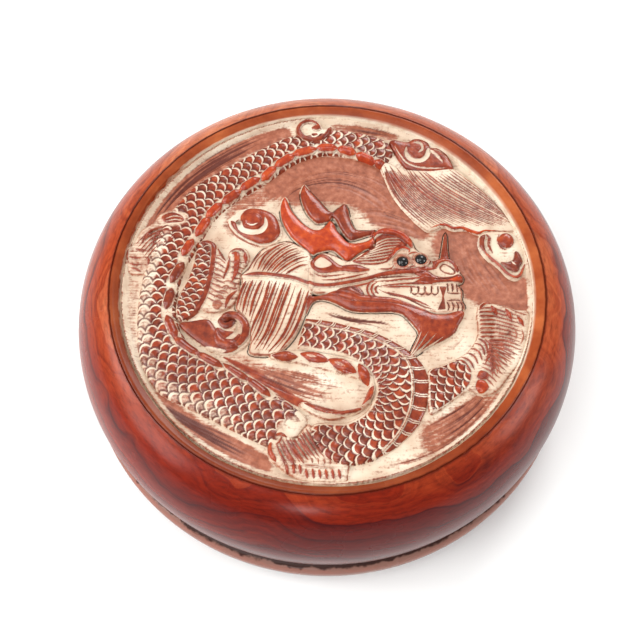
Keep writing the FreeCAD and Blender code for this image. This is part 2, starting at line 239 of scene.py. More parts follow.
# %% [markdown]
# The box was turned from a blank whose growth layers lie almost flat, so they show on its side as
# wavy lines and on top as broad patches. Rings round the axis would look painted on. Here the
# height of a place, pushed about by three sizes of noise, is counted in layers, and a dark line
# ends each.
# %% Growth layers
GROWTH_LAYER = 0.0041
LAYER_LINE = [
    (0.0, (0.25, 0.25, 0.25)), (0.08, (0, 0, 0)), (0.45, (0.02, 0.02, 0.02)),
    (0.86, (0.35, 0.35, 0.35)),
    (0.95, (1, 1, 1)), (1.0, (0.25, 0.25, 0.25)),
]


def growth_layers(tree, place, up):
    """Two noises, the wavy height they give, the layer's number there, and the line that ends it."""
    broad = noise(tree, place, 17.0, 2.0)
    middling = noise(tree, place, 70.0, 2.0)
    fine = noise(tree, place, 260.0, 3.0)
    lift = calculate(tree, "MULTIPLY_ADD", broad, 0.030, up)
    lift = calculate(tree, "MULTIPLY_ADD", middling, 0.0055, lift)
    lift = calculate(tree, "MULTIPLY_ADD", fine, 0.0007, lift)
    layer = calculate(tree, "DIVIDE", lift, GROWTH_LAYER)
    line = ramp(tree, calculate(tree, "FRACT", layer), LAYER_LINE)
    return broad, middling, lift, calculate(tree, "FLOOR", layer), line


print("a growth layer is", GROWTH_LAYER * 1000, "mm thick")
# %% [markdown]
# The wood's tone is painted darker, near black-red, in front and to the right, and a lighter
# orange-brown behind, to the left and on top: this is painted shade and painted light, set by the place
# on the box. Each layer also gets its own tone, which soft streaks change. Fine pores and a silky
# figure that follows the layers are multiplied over it, the figure's pale pinkish streaks partly a
# painted sheen, and the dark lines go on last.
# %% Wood colour
WOOD_TONES_AND_SHADE = [
    (0.15, (0.10, 0.003, 0.001)), (0.40, (0.20, 0.012, 0.002)), (0.64, (0.34, 0.048, 0.012)),
    (0.98, (0.46, 0.12, 0.048)),
]
PORES = [(0.30, (0.62, 0.60, 0.60)), (0.5, (1, 1, 1)), (0.75, (1.22, 1.3, 1.3))]
SILK_AND_SHEEN = [(0.3, (0.72, 0.62, 0.60)), (0.5, (1, 1, 1)), (0.72, (1.25, 1.6, 1.7))]
DARK_LINE = (0.040, 0.002, 0.003)


def wood_grain(tree, place):
    """The colour of polished red-brown wood, and its dark lines alone."""
    apart = put(tree, "ShaderNodeSeparateXYZ", {0: place}).outputs
    broad, middling, lift, number, line = growth_layers(tree, place, apart[2])
    tone = put(tree, "ShaderNodeTexWhiteNoise", {"W": number}, noise_dimensions="1D").outputs["Value"]
    soft_tone = noise(tree, stretched(tree, place, (18, 18, 70)), 1.0, 3.0)
    tone = calculate(tree, "MULTIPLY_ADD", tone, 0.20, times(tree, soft_tone, 0.6))
    # Painted shade and light: the place on the box lowers the tone toward the front and the right and
    # raises it on top.
    tone = calculate(tree, "MULTIPLY_ADD", apart[0], -1.6, tone)
    tone = calculate(tree, "MULTIPLY_ADD", apart[1], 5.0, tone)
    tone = calculate(tree, "ADD", tone, between(tree, apart[2], 0.031, 0.0375, 0.0, 0.30))
    base = ramp(tree, tone, WOOD_TONES_AND_SHADE)
    pores = noise(tree, stretched(tree, place, (420, 420, 2600)), 1.0, 4.0, 0.7)
    base = blend_colours(tree, 1.0, base, ramp(tree, pores, PORES), "MULTIPLY")
    # Partly painted sheen: the silky figure follows the layers, and its pale pinkish streaks stand for
    # a sheen.
    in_layer = {0: broad, 1: middling, 2: times(tree, lift, 1300.0)}
    silk_and_sheen = noise(tree, put(tree, "ShaderNodeCombineXYZ", in_layer).outputs[0], 1.0, 3.0, 0.6)
    base = blend_colours(tree, 1.0, base, ramp(tree, silk_and_sheen, SILK_AND_SHEEN), "MULTIPLY")
    weak = times(tree, line, calculate(tree, "MULTIPLY_ADD", middling, 1.6, 0.0, clamp=True))
    weak = times(tree, weak, between(tree, apart[2], 0.0365, 0.0345, 0.15, 1.0))
    return blend_colours(tree, weak, base, DARK_LINE), line


print("the wood has", len(WOOD_TONES_AND_SHADE), "tones")
# %% [markdown]
# Inside the crest the maker left a flat polished band, browner than the rim. Painted shade darkens it
# toward the lower left, and a dark line of painted shade lies in the small notch at the crest. Both are
# rings, so the distance from the axis places them.
# %% Band and crest
CREST_AT = 0.0459
BAND_TONES = [(0.3, (0.17, 0.024, 0.006)), (0.5, (0.29, 0.055, 0.014)), (0.7, (0.46, 0.12, 0.034))]
BAND_PAINTED_SHADE = (0.13, 0.022, 0.007)
CREST_PAINTED_SHADE = (0.075, 0.008, 0.003)


def band_and_crest(tree, place, colour, height, radius, shaky):
    """Paints the band, with painted shade toward the lower left, and a line of painted shade along the
    crest.
    """
    on_top = between(tree, height, 0.0368, 0.0372)
    band = between(tree, radius, CREST_AT, 0.0457)
    streaks = noise(tree, stretched(tree, place, (90, 90, 90)), 1.0, 5.0, 0.6)
    sides = put(tree, "ShaderNodeSeparateXYZ", {0: place}).outputs
    # Painted shade: the band darkens toward the lower left, where less light falls on it.
    toward = calculate(tree, "MULTIPLY_ADD", sides[0], -11.0, times(tree, sides[1], -18.0), clamp=True)
    brown = blend_colours(tree, times(tree, toward, 0.75), ramp(tree, streaks, BAND_TONES), BAND_PAINTED_SHADE)
    colour = blend_colours(tree, times(tree, times(tree, band, on_top), 0.85), colour, brown)
    # Painted shade: a dark line along the notch at the crest.
    crest = between(tree, calculate(tree, "ABSOLUTE", less(tree, shaky, CREST_AT)), 0.00042, 0.0001)
    return blend_colours(tree, times(tree, times(tree, crest, on_top), 0.85), colour, CREST_PAINTED_SHADE)


print("the crest's line is", CREST_AT * 2000, "mm across")
# %% [markdown]
# Where the lid meets the base, painted shade darkens a band along the seam and the ledge under the
# lid's edge, and a painted reflection of the pale sheet lightens the lip just under the seam. The three
# are placed by height and radius, with a speckle so that their edges crumble.
# %% Seam and ledge
SEAM_AT = 0.0122
SEAM_PAINTED_SHADE = (0.030, 0.006, 0.004)
LIP_PAINTED_REFLECTION = (0.42, 0.22, 0.17)
LEDGE_PAINTED_SHADE = (0.028, 0.008, 0.006)


def seam_and_ledge(tree, colour, height, radius, speck):
    """Paints shade along the seam and on the ledge that the lid hides, and a pale reflection on the lip
    under the seam.
    """
    # Painted shade: a dark band along the seam between lid and base.
    shaky_height = calculate(tree, "MULTIPLY_ADD", speck, 0.0012, height)
    from_seam = calculate(tree, "ABSOLUTE", less(tree, shaky_height, SEAM_AT))
    seam = between(tree, from_seam, 0.0011, 0.0007)
    colour = blend_colours(tree, times(tree, seam, 0.9), colour, SEAM_PAINTED_SHADE)
    below = between(tree, height, 0.01175, 0.01165)
    outside = between(tree, radius, 0.0520, 0.0526)
    # Painted reflection: the pale sheet mirrored on the lip under the seam.
    lip = times(tree, times(tree, below, between(tree, height, 0.0062, 0.0090)), outside)
    colour = blend_colours(tree, times(tree, lip, 0.55), colour, LIP_PAINTED_REFLECTION)
    # Painted shade: the ledge under the lid's edge is made nearly black.
    crumbly = calculate(tree, "MULTIPLY_ADD", less(tree, speck, 0.5), 0.0022, radius)
    ledge = times(tree, between(tree, crumbly, 0.0540, 0.0536), between(tree, height, 0.0098, 0.0102))
    ledge = times(tree, times(tree, ledge, below), outside)
    return blend_colours(tree, times(tree, ledge, 0.93), colour, LEDGE_PAINTED_SHADE)


# Prints the height where the seam's painted shade is darkest.
print("the painted_shade is darkest", SEAM_AT * 1000, "mm up")
# %% [markdown]
# All of the turned wood gets one finish: grain, band, crest and seam, and pigment rubbed on the
# wall under the band. The gloss varies as hand polish does, and a faint grit keeps the mirror image
# from being perfect.
# %% Polished wood
WALL_CHALK = [(0.3, (0.62, 0.46, 0.32)), (0.6, (0.84, 0.74, 0.58))]


def polished_wood(name):
    """The finish of the turned pieces."""
    material, tree, shader = new_material(name)
    place = placed(tree)
    colour, line = wood_grain(tree, place)
    height = put(tree, "ShaderNodeSeparateXYZ", {0: place}).outputs[2]
    flat = stretched(tree, place, (1, 1, 0))
    radius = put(tree, "ShaderNodeVectorMath", {0: flat}, operation="LENGTH").outputs["Value"]
    speck = noise(tree, place, 500.0, 3.0)
    shaky = calculate(tree, "MULTIPLY_ADD", speck, 0.0006, less(tree, radius, 0.0003))
    colour = band_and_crest(tree, place, colour, height, radius, shaky)
    colour = seam_and_ledge(tree, colour, height, radius, speck)
    wall = times(tree, between(tree, shaky, 0.0440, 0.0437), between(tree, height, 0.0376, 0.0373))
    wall = times(tree, wall, between(tree, height, 0.0345, 0.0350))
    colour = blend_colours(tree, wall, colour, ramp(tree, speck, WALL_CHALK))
    tree.links.new(colour, shader.inputs["Base Color"])
    rough = calculate(tree, "MULTIPLY_ADD", noise(tree, place, 60.0, 4.0), 0.2, 0.16)
    tree.links.new(calculate(tree, "MULTIPLY_ADD", wall, 0.4, rough), shader.inputs["Roughness"])
    shader.inputs["Specular IOR Level"].default_value = 0.30
    shader.inputs["IOR"].default_value = 1.36
    grit = calculate(tree, "ADD", noise(tree, place, 900.0, 3.0), times(tree, line, 0.6))
    bump = put(tree, "ShaderNodeBump", {"Height": grit, "Strength": 0.06, "Distance": 0.0002})
    tree.links.new(bump.outputs[0], shader.inputs["Normal"])
    return material


turned_wood = polished_wood("turned_wood")
print("the polished wood has", len(turned_wood.node_tree.nodes), "nodes")
# %% [markdown]
# The sheet, the stone, the ink and the beads are each nearly one colour, but a perfectly flat
# colour looks false. One helper gives each a slow or fine wander between two near tones, and its
# own gloss.
# %% Plain finishes
def mottled(name, scale, detail, dark, pale, rough):
    """An even finish whose tone wanders between two colours."""
    material, tree, shader = new_material(name)
    tone = ramp(tree, noise(tree, placed(tree), scale, detail), [(0.3, dark), (0.7, pale)])
    tree.links.new(tone, shader.inputs["Base Color"])
    shader.inputs["Roughness"].default_value = rough
    return material


sheet = mottled("white_sheet", 9.0, 6.0, (0.88, 0.89, 0.88), (0.94, 0.95, 0.94), 0.6)
floor.data.materials.append(sheet)
slate = mottled("slate", 250.0, 6.0, (0.035, 0.037, 0.04), (0.075, 0.078, 0.082), 0.6)
ink = mottled("pressed_ink", 300.0, 6.0, (0.012, 0.012, 0.013), (0.03, 0.03, 0.032), 0.4)
glass = mottled("black_glass", 900.0, 3.0, (0.004, 0.004, 0.004), (0.012, 0.010, 0.010), 0.06)
print("plain finishes:", sheet.name, slate.name, ink.name, glass.name)
# %% [markdown]
# A photographer bends the sheet up behind the object, so that no edge shows. Here the sheet glows
# white for the camera from some distance on, and near the box it keeps its shadow.
# %% Bright sweep
SWEEP_START = 0.16
SWEEP_END = 0.42

tree = sheet.node_tree
from_box = put(tree, "ShaderNodeVectorMath", {0: placed(tree)}, operation="LENGTH").outputs["Value"]
reach = {0: from_box, 1: SWEEP_START, 2: SWEEP_END}
far = put(tree, "ShaderNodeMapRange", reach, interpolation_type="SMOOTHSTEP").outputs[0]
seen = put(tree, "ShaderNodeLightPath").outputs["Is Camera Ray"]
glow = put(tree, "ShaderNodeEmission", {"Color": (1, 1, 1, 1), "Strength": 1.0}).outputs[0]
lit = tree.nodes["Principled BSDF"].outputs[0]
sweep = put(tree, "ShaderNodeMixShader", {0: times(tree, far, seen), 1: lit, 2: glow})
output = [node for node in tree.nodes if node.type == "OUTPUT_MATERIAL"][0]
tree.links.new(sweep.outputs[0], output.inputs["Surface"])
print("the sheet is pure white from", SWEEP_END, "m on")
# %% [markdown]
# A turner works from a profile of arcs that run into one another without a kink. An arc is fixed by
# its two ends and the way it sets out, which is easier to choose than a centre and a radius.
# %% Arcs of a profile
def turning_by(angle):
    """The matrix that turns a point of the profile round another."""
    return np.array([[math.cos(angle), -math.sin(angle)], [math.sin(angle), math.cos(angle)]])


def arc_leaving(start, end, heading, count=24):
    """Points on the arc that leaves start along heading and ends at end, and its heading there."""
    a = np.array(start, float)
    b = np.array(end, float)
    go = np.array(heading, float)
    go = go / np.linalg.norm(go)
    chord = b - a
    side = np.array([-go[1], go[0]])
    reach = chord @ chord / (2 * (side @ chord))
    centre = a + side * reach
    turned_by = 2 * math.atan2(go[0] * chord[1] - go[1] * chord[0], go @ chord)
    places = []
    for share in np.linspace(0, 1, count + 1):
        places.append(tuple(centre + turning_by(turned_by * share) @ (a - centre)))
    return places, turning_by(turned_by) @ go


def arrives_upright(start, end):
    """The heading to leave start with, for an arc that ends upright at end."""
    chord = np.array(end, float) - np.array(start, float)
    chord = chord / np.linalg.norm(chord)
    upright = np.array([0.0, 1.0])
    return 2 * (chord @ upright) * chord - upright
# %% [markdown]
# The box was turned on a lathe, and spin is Blender's lathe: a profile is drawn by extruding one
# point again and again, and is then spun about the axis. The doubles at the start and the pole are
# merged, and the faces are turned outwards. Smooth shading stops at real edges only.
# %% The lathe
def turned(name, profile, steps=360):
    """A piece turned on the lathe. The profile is a closed line of (radius, height) in millimetres."""
    bpy.ops.object.select_all(action="DESELECT")
    bpy.ops.mesh.primitive_plane_add(size=1 * MM, location=(0, 0, 0))
    piece = bpy.context.active_object
    piece.name = name
    bpy.ops.object.mode_set(mode="EDIT")
    bpy.ops.mesh.select_all(action="SELECT")
    bpy.ops.mesh.merge(type="CENTER")
    here = Vector((0, 0, 0))
    first = Vector((profile[0][0], 0, profile[0][1])) * MM
    bpy.ops.transform.translate(value=first - here)
    here = first
    for radius, height in list(profile[1:]) + [profile[0]]:
        there = Vector((radius, 0, height)) * MM
        bpy.ops.mesh.extrude_region_move(TRANSFORM_OT_translate={"value": there - here})
        here = there
    bpy.ops.mesh.select_all(action="SELECT")
    bpy.ops.mesh.remove_doubles(threshold=0.00001)
    bpy.ops.mesh.select_all(action="SELECT")
    bpy.ops.mesh.spin(steps=steps, angle=2 * math.pi, center=(0, 0, 0), axis=(0, 0, 1))
    bpy.ops.mesh.select_all(action="SELECT")
    bpy.ops.mesh.remove_doubles(threshold=0.000005)
    bpy.ops.mesh.select_all(action="SELECT")
    bpy.ops.mesh.normals_make_consistent(inside=False)
    bpy.ops.object.mode_set(mode="OBJECT")
    bpy.ops.object.shade_smooth_by_angle(angle=math.radians(35))
    print(name, "has", len(piece.data.polygons), "faces")
    return piece
# %% [markdown]
# The lid bulges over its seam, rises to a crest and falls a little to the band. Its lower edge is
# drawn in, so the base shows under it. The profile goes from the hollow's ceiling out, down, round
# the outside and back in under the carved panel, so the spun shell is closed.
# %% Lid shell
SEAM = (53.7, 11.6)
BELLY = (54.8, 22)
LIP_IN = 0.75
BASE_LIP = (54.75, 9.3)
SHOULDER = (52.4, 31.8)
CREST = (45.8, 38)
BAND_EDGE = (43.6, 37.5)
GROUND = 35.9
CEILING = 30.9
HOLLOW_RADIUS = 48.3

seam_top = (SEAM[0] - LIP_IN, SEAM[1] + 0.45)
rise, heading = arc_leaving(seam_top, BELLY, arrives_upright(seam_top, BELLY), 30)
flank, heading = arc_leaving(BELLY, SHOULDER, heading, 20)
shoulder, heading = arc_leaving(SHOULDER, CREST, heading, 20)
hollow_corner, _ = arc_leaving((44.3, CEILING), (HOLLOW_RADIUS, 26.9), (1, 0), 8)
lid_profile = [
    (0.0, CEILING),
    (30.0, CEILING),
    *hollow_corner,
    (HOLLOW_RADIUS, SEAM[1] + 0.3),
    (HOLLOW_RADIUS + 0.3, SEAM[1]),
    (SEAM[0] - LIP_IN - 0.6, SEAM[1]),
    (SEAM[0] - LIP_IN - 0.18, SEAM[1] + 0.14),
    *rise[:-1],
    *flank[:-1],
    *shoulder[:-1],
    (CREST[0] + 0.20, CREST[1] - 0.06),
    (CREST[0] + 0.02, CREST[1] - 0.28),
    (CREST[0] - 0.14, CREST[1] - 0.10),
    (CREST[0] - 0.36, CREST[1] - 0.03),
    (CREST[0] - 0.8, CREST[1] - 0.10),
    (44.7, 37.74),
    (BAND_EDGE[0] + 0.28, BAND_EDGE[1] + 0.0),
    (BAND_EDGE[0] + 0.12, BAND_EDGE[1] - 0.12),
    (BAND_EDGE[0] + 0.04, BAND_EDGE[1] - 0.5),
    (BAND_EDGE[0] - 0.1, BAND_EDGE[1] - 1.2),
    (42.9, 35.1), (30, 35.1), (0, 35.1),
]
lid_shell = turned("lid_shell", lid_profile)
# %% [markdown]
# The band's inner edge was cut with a knife after the turning, so it isn't a true circle. Turned
# once more it would be too perfect. Its rings are waved in and out by a sum of a few waves, and
# moved a little toward the lower left, as in the photo.
# %% A hand-cut edge
DRIFT = (-0.35, -0.35)
KNIFE_WAVES = (2, 3, 5, 8, 13, 21, 34)


def cut_by_hand(piece, low, high, swing, seed):
    """Waves the rings between two radii in and out, as the knife left them. Sizes in millimetres."""
    places = np.zeros(len(piece.data.vertices) * 3, np.float32)
    piece.data.vertices.foreach_get("co", places)
    places = places.reshape(-1, 3) / MM
    radius = np.hypot(places[:, 0], places[:, 1])
    angle = np.arctan2(places[:, 1], places[:, 0])
    rng = np.random.default_rng(seed)
    wave = np.zeros(len(places))
    for turns in KNIFE_WAVES:
        wave += rng.normal(0, 1) * np.cos(turns * angle + rng.uniform(0, 6.28)) / turns**0.6
    chosen = (radius > low) & (radius < high) & (places[:, 2] > 35.5)
    share = np.clip((high - radius) / 0.8, 0, 1)
    grown = 1 + swing * wave * share / np.maximum(radius, 1)
    places[chosen, :2] *= grown[chosen, None]
    places[chosen, :2] += np.array(DRIFT) * share[chosen, None]
    piece.data.vertices.foreach_set("co", (places * MM).astype(np.float32).ravel())
    piece.data.update()
    print(int(chosen.sum()), "points of", piece.name, "were moved")


cut_by_hand(lid_shell, 42.5, 44.8, 0.16, 3)
lid_shell.data.materials.append(turned_wood)
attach(lid_shell, "lid")
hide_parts("lid")
# %% [markdown]
# The base is a shallow tray. It stands on a foot ring, swells to a thin lip under the seam, and a
# spigot on top of it holds the lid. It is turned in the same way, and its inside is the tray for
# the stone.
# %% Base
FOOT_EDGE = (45.5, 0.05)
foot_side, _ = arc_leaving(FOOT_EDGE, BASE_LIP, arrives_upright(FOOT_EDGE, BASE_LIP), 20)
lip_top, _ = arc_leaving(BASE_LIP, (53.3, 11.15), (0, 1), 8)
base_profile = [
    (0, 1), (37.6, 1), (38, 0.4), (38.3, 0), (44.6, 0),
    *foot_side,
    *lip_top[1:],
    (52.9, 11.25), (52.3, 11), (51.9, 11.6), (48, 11.6), (48, 15), (47.8, 15.42), (47.4, 15.6),
    (45, 15.6), (44.8, 15.4), (44.8, 5.4), (44.4, 5), (0, 5),
]
turned_base = turned("turned_base", base_profile)
turned_base.data.materials.append(turned_wood)
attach(turned_base, "base")
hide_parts("base")
# %% [markdown]
# Every figure of the carving starts as a line drawn through a few points. A curve that passes through
# all its points is used, because each point was placed on the photo and should stay there.
# %% Smooth lines
SKIRT = 0.34
patches = []


def smooth_path(places, closed=False, spacing=0.35):
    """A smooth line through given points, with points every so often along it."""
    p = np.array(places, float)
    if closed:
        p = np.vstack([p[-1], p, p[0], p[1]])
    else:
        p = np.vstack([2 * p[0] - p[1], p, 2 * p[-1] - p[-2]])
    out = []
    for i in range(1, len(p) - 2):
        count = max(2, int(np.linalg.norm(p[i + 1] - p[i]) / spacing))
        t = np.linspace(0, 1, count, endpoint=False)[:, None]
        out.append(
            0.5
            * (
                2 * p[i]
                + (p[i + 1] - p[i - 1]) * t
                + (2 * p[i - 1] - 5 * p[i] + 4 * p[i + 1] - p[i + 2]) * t**2
                + (3 * p[i] - p[i - 1] - 3 * p[i + 1] + p[i + 2]) * t**3
            )
        )
    if not closed:
        out.append(p[-2][None])
    return np.vstack(out)


def closed(places):
    """A smooth closed outline through given points."""
    return smooth_path(places, closed=True, spacing=0.3)


def evenly(path, count):
    """A line's points spread evenly along it."""
    steps = np.linalg.norm(np.diff(path, axis=0), axis=1)
    along = np.concatenate([[0], np.cumsum(steps)])
    wanted = np.linspace(0, along[-1], count)
    return np.stack([np.interp(wanted, along, path[:, k]) for k in range(2)], axis=1)


def drawn(places, count):
    """A smooth line through given points, as points spread evenly along it."""
    return evenly(smooth_path(places), count)


print("a carved piece goes down", SKIRT, "mm past its outline")
# %% [markdown]
# A height field asks two things of each place on its grid: how far it is from a line, and whether
# it is inside an outline. Both are worked out for the whole grid at once, which is fast enough for
# fine grids.
# %% Near and inside
def nearest(path, x, y):
    """For every place: how far the line is, how far along it the nearest point is, and the side."""
    best = np.full(x.shape, 1e9)
    along = np.zeros(x.shape)
    side = np.ones(x.shape)
    run = 0.0
    for a, b in zip(path[:-1], path[1:]):
        step = b - a
        length = math.hypot(*step)
        if length < 1e-9:
            continue
        ux, uy = step / length
        dx = x - a[0]
        dy = y - a[1]
        t = np.clip(dx * ux + dy * uy, 0, length)
        square = (dx - t * ux) ** 2 + (dy - t * uy) ** 2
        closer = square < best
        best = np.where(closer, square, best)
        along = np.where(closer, run + t, along)
        side = np.where(closer, np.sign(ux * dy - uy * dx), side)
        run += length
    return np.sqrt(best), along, side


def within(outline, x, y):
    """True inside a closed outline."""
    inside = np.zeros(x.shape, bool)
    for (ax, ay), (bx, by) in zip(outline, np.roll(outline, -1, axis=0)):
        if ay == by:
            continue
        crosses = (ay > y) != (by > y)
        inside ^= crosses & (x < (bx - ax) * (y - ay) / (by - ay) + ax)
    return inside


def eased(value, start, end):
    """0 before start, 1 after end, and a smooth rise between them."""
    t = np.clip((value - start) / (end - start), 0, 1)
    return t * t * (3 - 2 * t)
# %% [markdown]
# The relief is shallow and nothing in it is undercut, so each figure can be a height field: a fine
# square grid with a height at each point. Sculpting by hand can't be repeated by a script, and a
# bump map would not show from the side. Each point also holds its pigment, its tone and its gloss.
# %% A patch of carving
class Patch:
    """One part of the carving: a fine square grid, with a height over the ground and colours."""

    def __init__(self, name, outlines, step=0.13):
        self.name = name
        self.step = step
        every = np.vstack(outlines)
        self.low = every.min(axis=0) - SKIRT - step
        high = every.max(axis=0) + SKIRT + step
        across = np.arange(self.low[0], high[0], step)
        up = np.arange(self.low[1], high[1], step)
        self.x, self.y = np.meshgrid(across, up)
        self.inset = np.full(self.x.shape, -1e9)
        for outline in outlines:
            distance, _, _ = nearest(np.vstack([outline, outline[:1]]), self.x, self.y)
            inset = np.where(within(outline, self.x, self.y), distance, -distance)
            self.inset = np.maximum(self.inset, inset)
        self.hidden = np.zeros(self.x.shape, bool)
        self.height = np.zeros(self.x.shape)
        self.cream = np.zeros(self.x.shape)
        self.orange = np.zeros(self.x.shape)
        # dark holds painted shadow, such as the strip just beyond each scale's free edge.
        self.dark = np.zeros(self.x.shape)
        self.gloss = np.zeros(self.x.shape)

    def window(self, points, reach):
        """The part of the grid that lies within reach of some points."""
        low = (points.min(axis=0) - reach - self.low) / self.step
        high = (points.max(axis=0) + reach - self.low) / self.step
        rows, columns = self.x.shape
        x0, y0 = np.clip(np.floor(low).astype(int), 0, [columns, rows])
        x1, y1 = np.clip(np.ceil(high).astype(int) + 1, 0, [columns, rows])
        return slice(y0, y1), slice(x0, x1)

    def paint(self, part, mask, cream=None, orange=None, gloss=None):
        """Lays pigment, tone and gloss over a part of the grid."""
        for layer, wanted in ((self.cream, cream), (self.orange, orange), (self.gloss, gloss)):
            if wanted is not None:
                layer[part] = layer[part] * (1 - mask) + wanted * mask
# %% [markdown]
# Most of the carving is strokes of a gouge: ridges and cuts that swell and run out. A stroke raises
# or lowers the grid near a line, with a round cross-section, and its width falls off toward its
# ends.
# %% Strokes
def stroke(patch, places, wide, tall=0.0, taper=(0.3, 0.3), sharp=False, **colours):
    """A raised or cut line. Its width falls off over the taper shares at its two ends."""
    path = np.array(places, float) if sharp else smooth_path(places)
    part = patch.window(path, wide)
    x = patch.x[part]
    if x.size == 0:
        return
    distance, along, _ = nearest(path, x, patch.y[part])
    length = np.linalg.norm(np.diff(path, axis=0), axis=1).sum()
    share = along / length
    narrowed = np.ones(x.shape)
    if taper[0] > 0:
        narrowed = narrowed * np.clip(share / taper[0], 0.0, 1) ** 0.6
    if taper[1] > 0:
        narrowed = narrowed * np.clip((1 - share) / taper[1], 0.0, 1) ** 0.6
    half = 0.5 * wide * np.maximum(narrowed, 0.05)
    reach = np.clip(1 - distance / half, 0, 1)
    body = np.sqrt(np.clip(1 - (1 - reach) ** 2, 0, 1)) * np.maximum(narrowed, 0.3)
    patch.height[part] += tall * np.where(reach > 0, body, 0)
    patch.paint(part, eased(reach, 0.05, 0.4), **colours)


Patch.stroke = stroke
# %% [markdown]
# Horns, jaw and cloud heads are rounded pads. A mound raises all that is inside an outline by a
# quarter-round edge. The same edge lets a figure rise out of the ground, and dives under it
# outside.
# %% Mounds
def mound(patch, outline, tall, edge=0.6, **colours):
    """Raises everything inside an outline, with a rounded edge."""
    part = patch.window(outline, 0.5)
    x = patch.x[part]
    y = patch.y[part]
    if x.size == 0:
        return
    distance, _, _ = nearest(np.vstack([outline, outline[:1]]), x, y)
    inset = np.where(within(outline, x, y), distance, -distance)
    t = np.clip(inset / edge, 0, 1)
    patch.height[part] += tall * np.sqrt(np.clip(1 - (1 - t) ** 2, 0, 1))
    patch.paint(part, eased(inset, -0.04, 0.12), **colours)


Patch.mound = mound


def rounded_edge(inset, edge):
    """A quarter-round rise from an outline, from 0 to 1, that dives under the ground outside it."""
    t = np.clip(inset / edge, 0, 1)
    top = np.sqrt(np.clip(1 - (1 - t) ** 2, 0, 1))
    return np.where(inset < 0, inset * 1.6, top)


def pad(name, outline, tall, edge, cream, orange=0.0):
    """Starts a small figure: its grid, raised with a rounded edge, in one pigment and tone."""
    patch = Patch(name, [closed(outline)], step=0.125)
    patch.height += tall * rounded_edge(patch.inset, edge)
    patch.cream[:] = cream
    patch.orange[:] = orange
    return patch
# %% [markdown]
# The grid becomes a mesh with one quad for each cell inside the outline. Making it from lists is
# the one practical way, since no modelling tool raises a hundred thousand points each by its own
# height.
# %% From grid to surface
def surface(patch):
    """The patch's grid inside its outline as a mesh, and which of its points are used."""
    keep = (patch.inset > -SKIRT) & ~patch.hidden
    cell = keep[:-1, :-1] & keep[1:, :-1] & keep[:-1, 1:] & keep[1:, 1:]
    used = np.zeros(keep.shape, bool)
    used[:-1, :-1] |= cell
    used[1:, :-1] |= cell
    used[:-1, 1:] |= cell
    used[1:, 1:] |= cell
    number = np.full(keep.shape, -1)
    number[used] = np.arange(used.sum())
    z = GROUND + patch.height
    places = np.stack([patch.x[used], patch.y[used], z[used]], axis=1) * MM
    quads = np.stack(
        [number[:-1, :-1][cell], number[:-1, 1:][cell], number[1:, 1:][cell], number[1:, :-1][cell]],
        axis=1,
    )
    mesh = bpy.data.meshes.new(patch.name)
    mesh.vertices.add(len(places))
    mesh.vertices.foreach_set("co", places.astype(np.float32).ravel())
    mesh.loops.add(quads.size)
    mesh.loops.foreach_set("vertex_index", quads.astype(np.int32).ravel())
    mesh.polygons.add(len(quads))
    mesh.polygons.foreach_set("loop_start", np.arange(0, quads.size, 4, dtype=np.int32))
    mesh.update(calc_edges=True)
    return mesh, used
# %% [markdown]
# Rubbing takes pigment off the ridges, and narrow cuts get painted shade. Both are found by comparing
# each point with the mean height round it, and are stored on the points, where the finish reads them.
# %% Worn ridges and dark cuts
def averaged(grid, reach):
    """Each place's mean over a square of the given reach, by running sums."""
    wide = 2 * reach + 1
    padded = np.pad(grid, reach + 1, mode="edge")
    sums = padded.cumsum(axis=0).cumsum(axis=1)
    block = sums[wide:, wide:] - sums[:-wide, wide:] - sums[wide:, :-wide] + sums[:-wide, :-wide]
    return block[: grid.shape[0], : grid.shape[1]] / wide**2


def tint(patch, mesh, used):
    """Stores the pigment, the tone, the gloss and the painted shade of cuts and scale edges on the
    mesh's points.
    """
    reach = max(1, round(0.3 / patch.step))
    sunk = averaged(np.maximum(patch.height, -0.15), reach) - patch.height
    worn = np.clip((-sunk - 0.02) / 0.10, 0, 1) * np.clip(1 - 2 * patch.gloss, 0, 1)
    patch.cream = patch.cream * (1 - 0.7 * worn)
    # Painted shade: points lying below the mean height round them, in narrow cuts, are darkened, and
    # the painted shadow beyond the scales joins it.
    painted_cavity_shade = np.clip((sunk - 0.03) / 0.11, 0, 1) * np.clip(1.3 - 0.85 * patch.cream, 0, 1)
    painted_cavity_shade = np.maximum(painted_cavity_shade, patch.dark) * (patch.inset > 0)
    shade = mesh.attributes.new("painted_cavity_shade", "FLOAT", "POINT")
    shade.data.foreach_set("value", painted_cavity_shade[used].astype(np.float32))
    paint = mesh.attributes.new("carving", "FLOAT_COLOR", "POINT")
    colours = np.stack(
        [patch.cream[used], patch.orange[used], patch.gloss[used], np.ones(used.sum())], axis=1
    )
    paint.data.foreach_set("color", colours.astype(np.float32).ravel())
